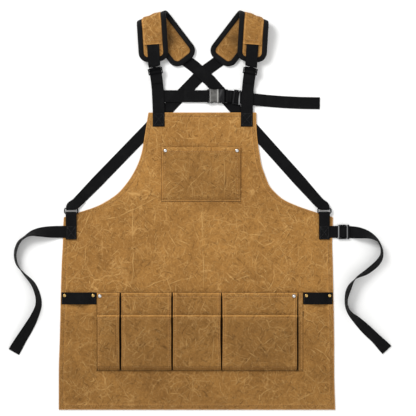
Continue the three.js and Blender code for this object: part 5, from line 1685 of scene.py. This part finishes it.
runs = []
for row in WAIST_POCKETS:
    number = row["number"]
    left = PANEL_LEFT + row["from"] * PANEL_WIDTH
    right = PANEL_LEFT + row["to"] * PANEL_WIDTH
    tall, short = tree_of(tall_pieces[number]), tree_of(short_pieces[number])
    top, mid = PANEL_HEIGHT + TALL, PANEL_HEIGHT + SHORT
    runs += [
        (tall, [(left + 2, top - 9.6), (right - 2, top - 9.6)]),
        (short, [(left + 2, mid - 7.4), (right - 2, mid - 7.4)]),
        (short, [(left + 1, PANEL_HEIGHT + 1.6), (right - 1, PANEL_HEIGHT + 1.6)]),
        (short, [(left + 1, PANEL_HEIGHT + 9.5), (right - 1, PANEL_HEIGHT + 9.5)]),
    ]
    for x in (left + 4.2, right - 4.2):
        runs += [(tall, [(x, mid + 2), (x, top - 2)]), (short, [(x, PANEL_HEIGHT + 12), (x, mid - 2)])]
strip_tree = tree_of(strip_over)
strip_back_tree = tree_of(strip)
for x in (strip_left + 3, strip_right - 3):
    runs += [(strip_tree, [(x, PANEL_HEIGHT + 3), (x, PANEL_HEIGHT + SHORT - 3)]),
             (strip_back_tree, [(x, PANEL_HEIGHT + SHORT + 2), (x, PANEL_HEIGHT + TALL - 3)])]
sew("waist_pocket_stitches", runs)

bib_tree = tree_of(bib_piece)
bib_top_y = BIB_BOTTOM + BIB_HEIGHT
runs = [(bib_tree, [(BIB_LEFT + 2, bib_top_y - 10), (BIB_LEFT + BIB_WIDTH - 2, bib_top_y - 10)])]
for distance in (0.6, 7.5):
    runs += [
        (bib_tree, [(BIB_LEFT + distance, bib_top_y - 3), (BIB_LEFT + distance, BIB_BOTTOM + distance),
                    (BIB_LEFT + BIB_WIDTH - distance, BIB_BOTTOM + distance),
                    (BIB_LEFT + BIB_WIDTH - distance, bib_top_y - 3)]),
    ]
sew("bib_pocket_stitches", runs)

runs = []
for word, side in (("left", 1), ("right", -1)):
    tree = tree_of(cover_pieces[word])
    ends_x = np.array([2.0 - COVER_HALF, COVER_HALF - 2.0])
    t, q = to_fold(ends_x, np.full(2, COVER_LOW + COVER_DOUBLED))
    ends = mirrored(on_pad(t, q, np.full(2, 6.0)), side)
    runs.append((tree, ends[:, :2]))
sew("pad_hem_stitches", runs)

runs = []
for word, side in (("left", -1), ("right", 1)):
    tree = tree_of(tab_pieces[word])
    x, low, high = tab_centre(side), TAB_TOP - TAB_LENGTH, TIE_HEIGHT + STRAP_WIDTH / 2
    half = TAB_WIDTH / 2 - 3
    foot, head = low + 3, high - 2
    box = [(x - half, foot), (x + half, foot), (x + half, head), (x - half, head), (x - half, foot)]
    runs += [(tree, box), (tree, [box[0], box[2]]), (tree, [box[1], box[3]])]
    loop_tree = tree_of(loop_pieces[word])
    outer = float(body_edge(side, LOOP_TOP / BODY_LENGTH)) - side * 1
    inner = side * (PANEL_WIDTH / 2 + 1.5)
    for x in (outer - side * 3, inner + side * 3):
        runs.append((loop_tree, [(x, LOOP_TOP - 28), (x, LOOP_TOP - 2)]))
for word, side in (("left", 1), ("right", -1)):
    tree = tree_of(front_pieces[word])
    x = NECK_CENTRE - side * FOOT_SPACING
    top, low = BODY_LENGTH - 3, BODY_LENGTH - 33
    box = [(x - 12, low + 2), (x + 12, low + 2), (x + 12, top), (x - 12, top), (x - 12, low + 2)]
    runs += [(tree, box), (tree, [box[0], box[2]]), (tree, [box[1], box[3]])]
sew("strap_stitches", runs, BLACK_THREAD, 3.2, 2.4, 0.8, 0.45)


# Floor, light and camera
def build_floor():
    n = Nodes("paper")
    place = n.place()
    mottle = n.noise(place, 3.0, 2.0)["Fac"]
    colour = n.mix(n.span(mottle, 0.3, 0.7), linear(250, 250, 249), linear(253, 253, 252))
    n.finish(colour, 0.9)
    mesh = bpy.data.meshes.new("floor")
    half = 14.0
    below = -0.0004
    corners = [(-half, -half, below), (half, -half, below), (half, half, below), (-half, half, below)]
    mesh.from_pydata(corners, [], [(0, 1, 2, 3)])
    mesh.materials.append(n.material)
    floor = bpy.data.objects.new("floor", mesh)
    bpy.context.scene.collection.objects.link(floor)


def area_light(name, place, aim, size, power):
    data = bpy.data.lights.new(name, "AREA")
    data.shape = "SQUARE"
    data.size = size
    data.energy = power
    light = bpy.data.objects.new(name, data)
    bpy.context.scene.collection.objects.link(light)
    light.location = place
    light.rotation_euler = (Vector(aim) - Vector(place)).to_track_quat("-Z", "Y").to_euler()


build_floor()
area_light("key", (-1.3, 1.5, 2.1), (0, 0, 0), 1.1, 54)
area_light("fill", (1.6, -1.2, 2.2), (0, 0, 0), 2.2, 14)

world = bpy.data.worlds.new("studio")
bpy.context.scene.world = world
world.use_nodes = True
world.node_tree.nodes["Background"].inputs["Color"].default_value = (1.0, 1.0, 1.0, 1.0)
world.node_tree.nodes["Background"].inputs["Strength"].default_value = 0.66

camera_data = bpy.data.cameras.new("camera")
camera = bpy.data.objects.new("camera", camera_data)
bpy.context.scene.collection.objects.link(camera)
DISTANCE = 5.0
FRAME_WIDTH = 1.04
SENSOR = 36.0
camera_data.sensor_width = SENSOR
camera_data.lens = SENSOR * DISTANCE / FRAME_WIDTH
camera_data.clip_end = 50
camera.location = (0.020, 0.00525, DISTANCE)
camera.rotation_euler = (0, 0, 0)
bpy.context.scene.camera = camera
bpy.context.scene.view_settings.view_transform = "Standard"

bpy.context.view_layer.update()
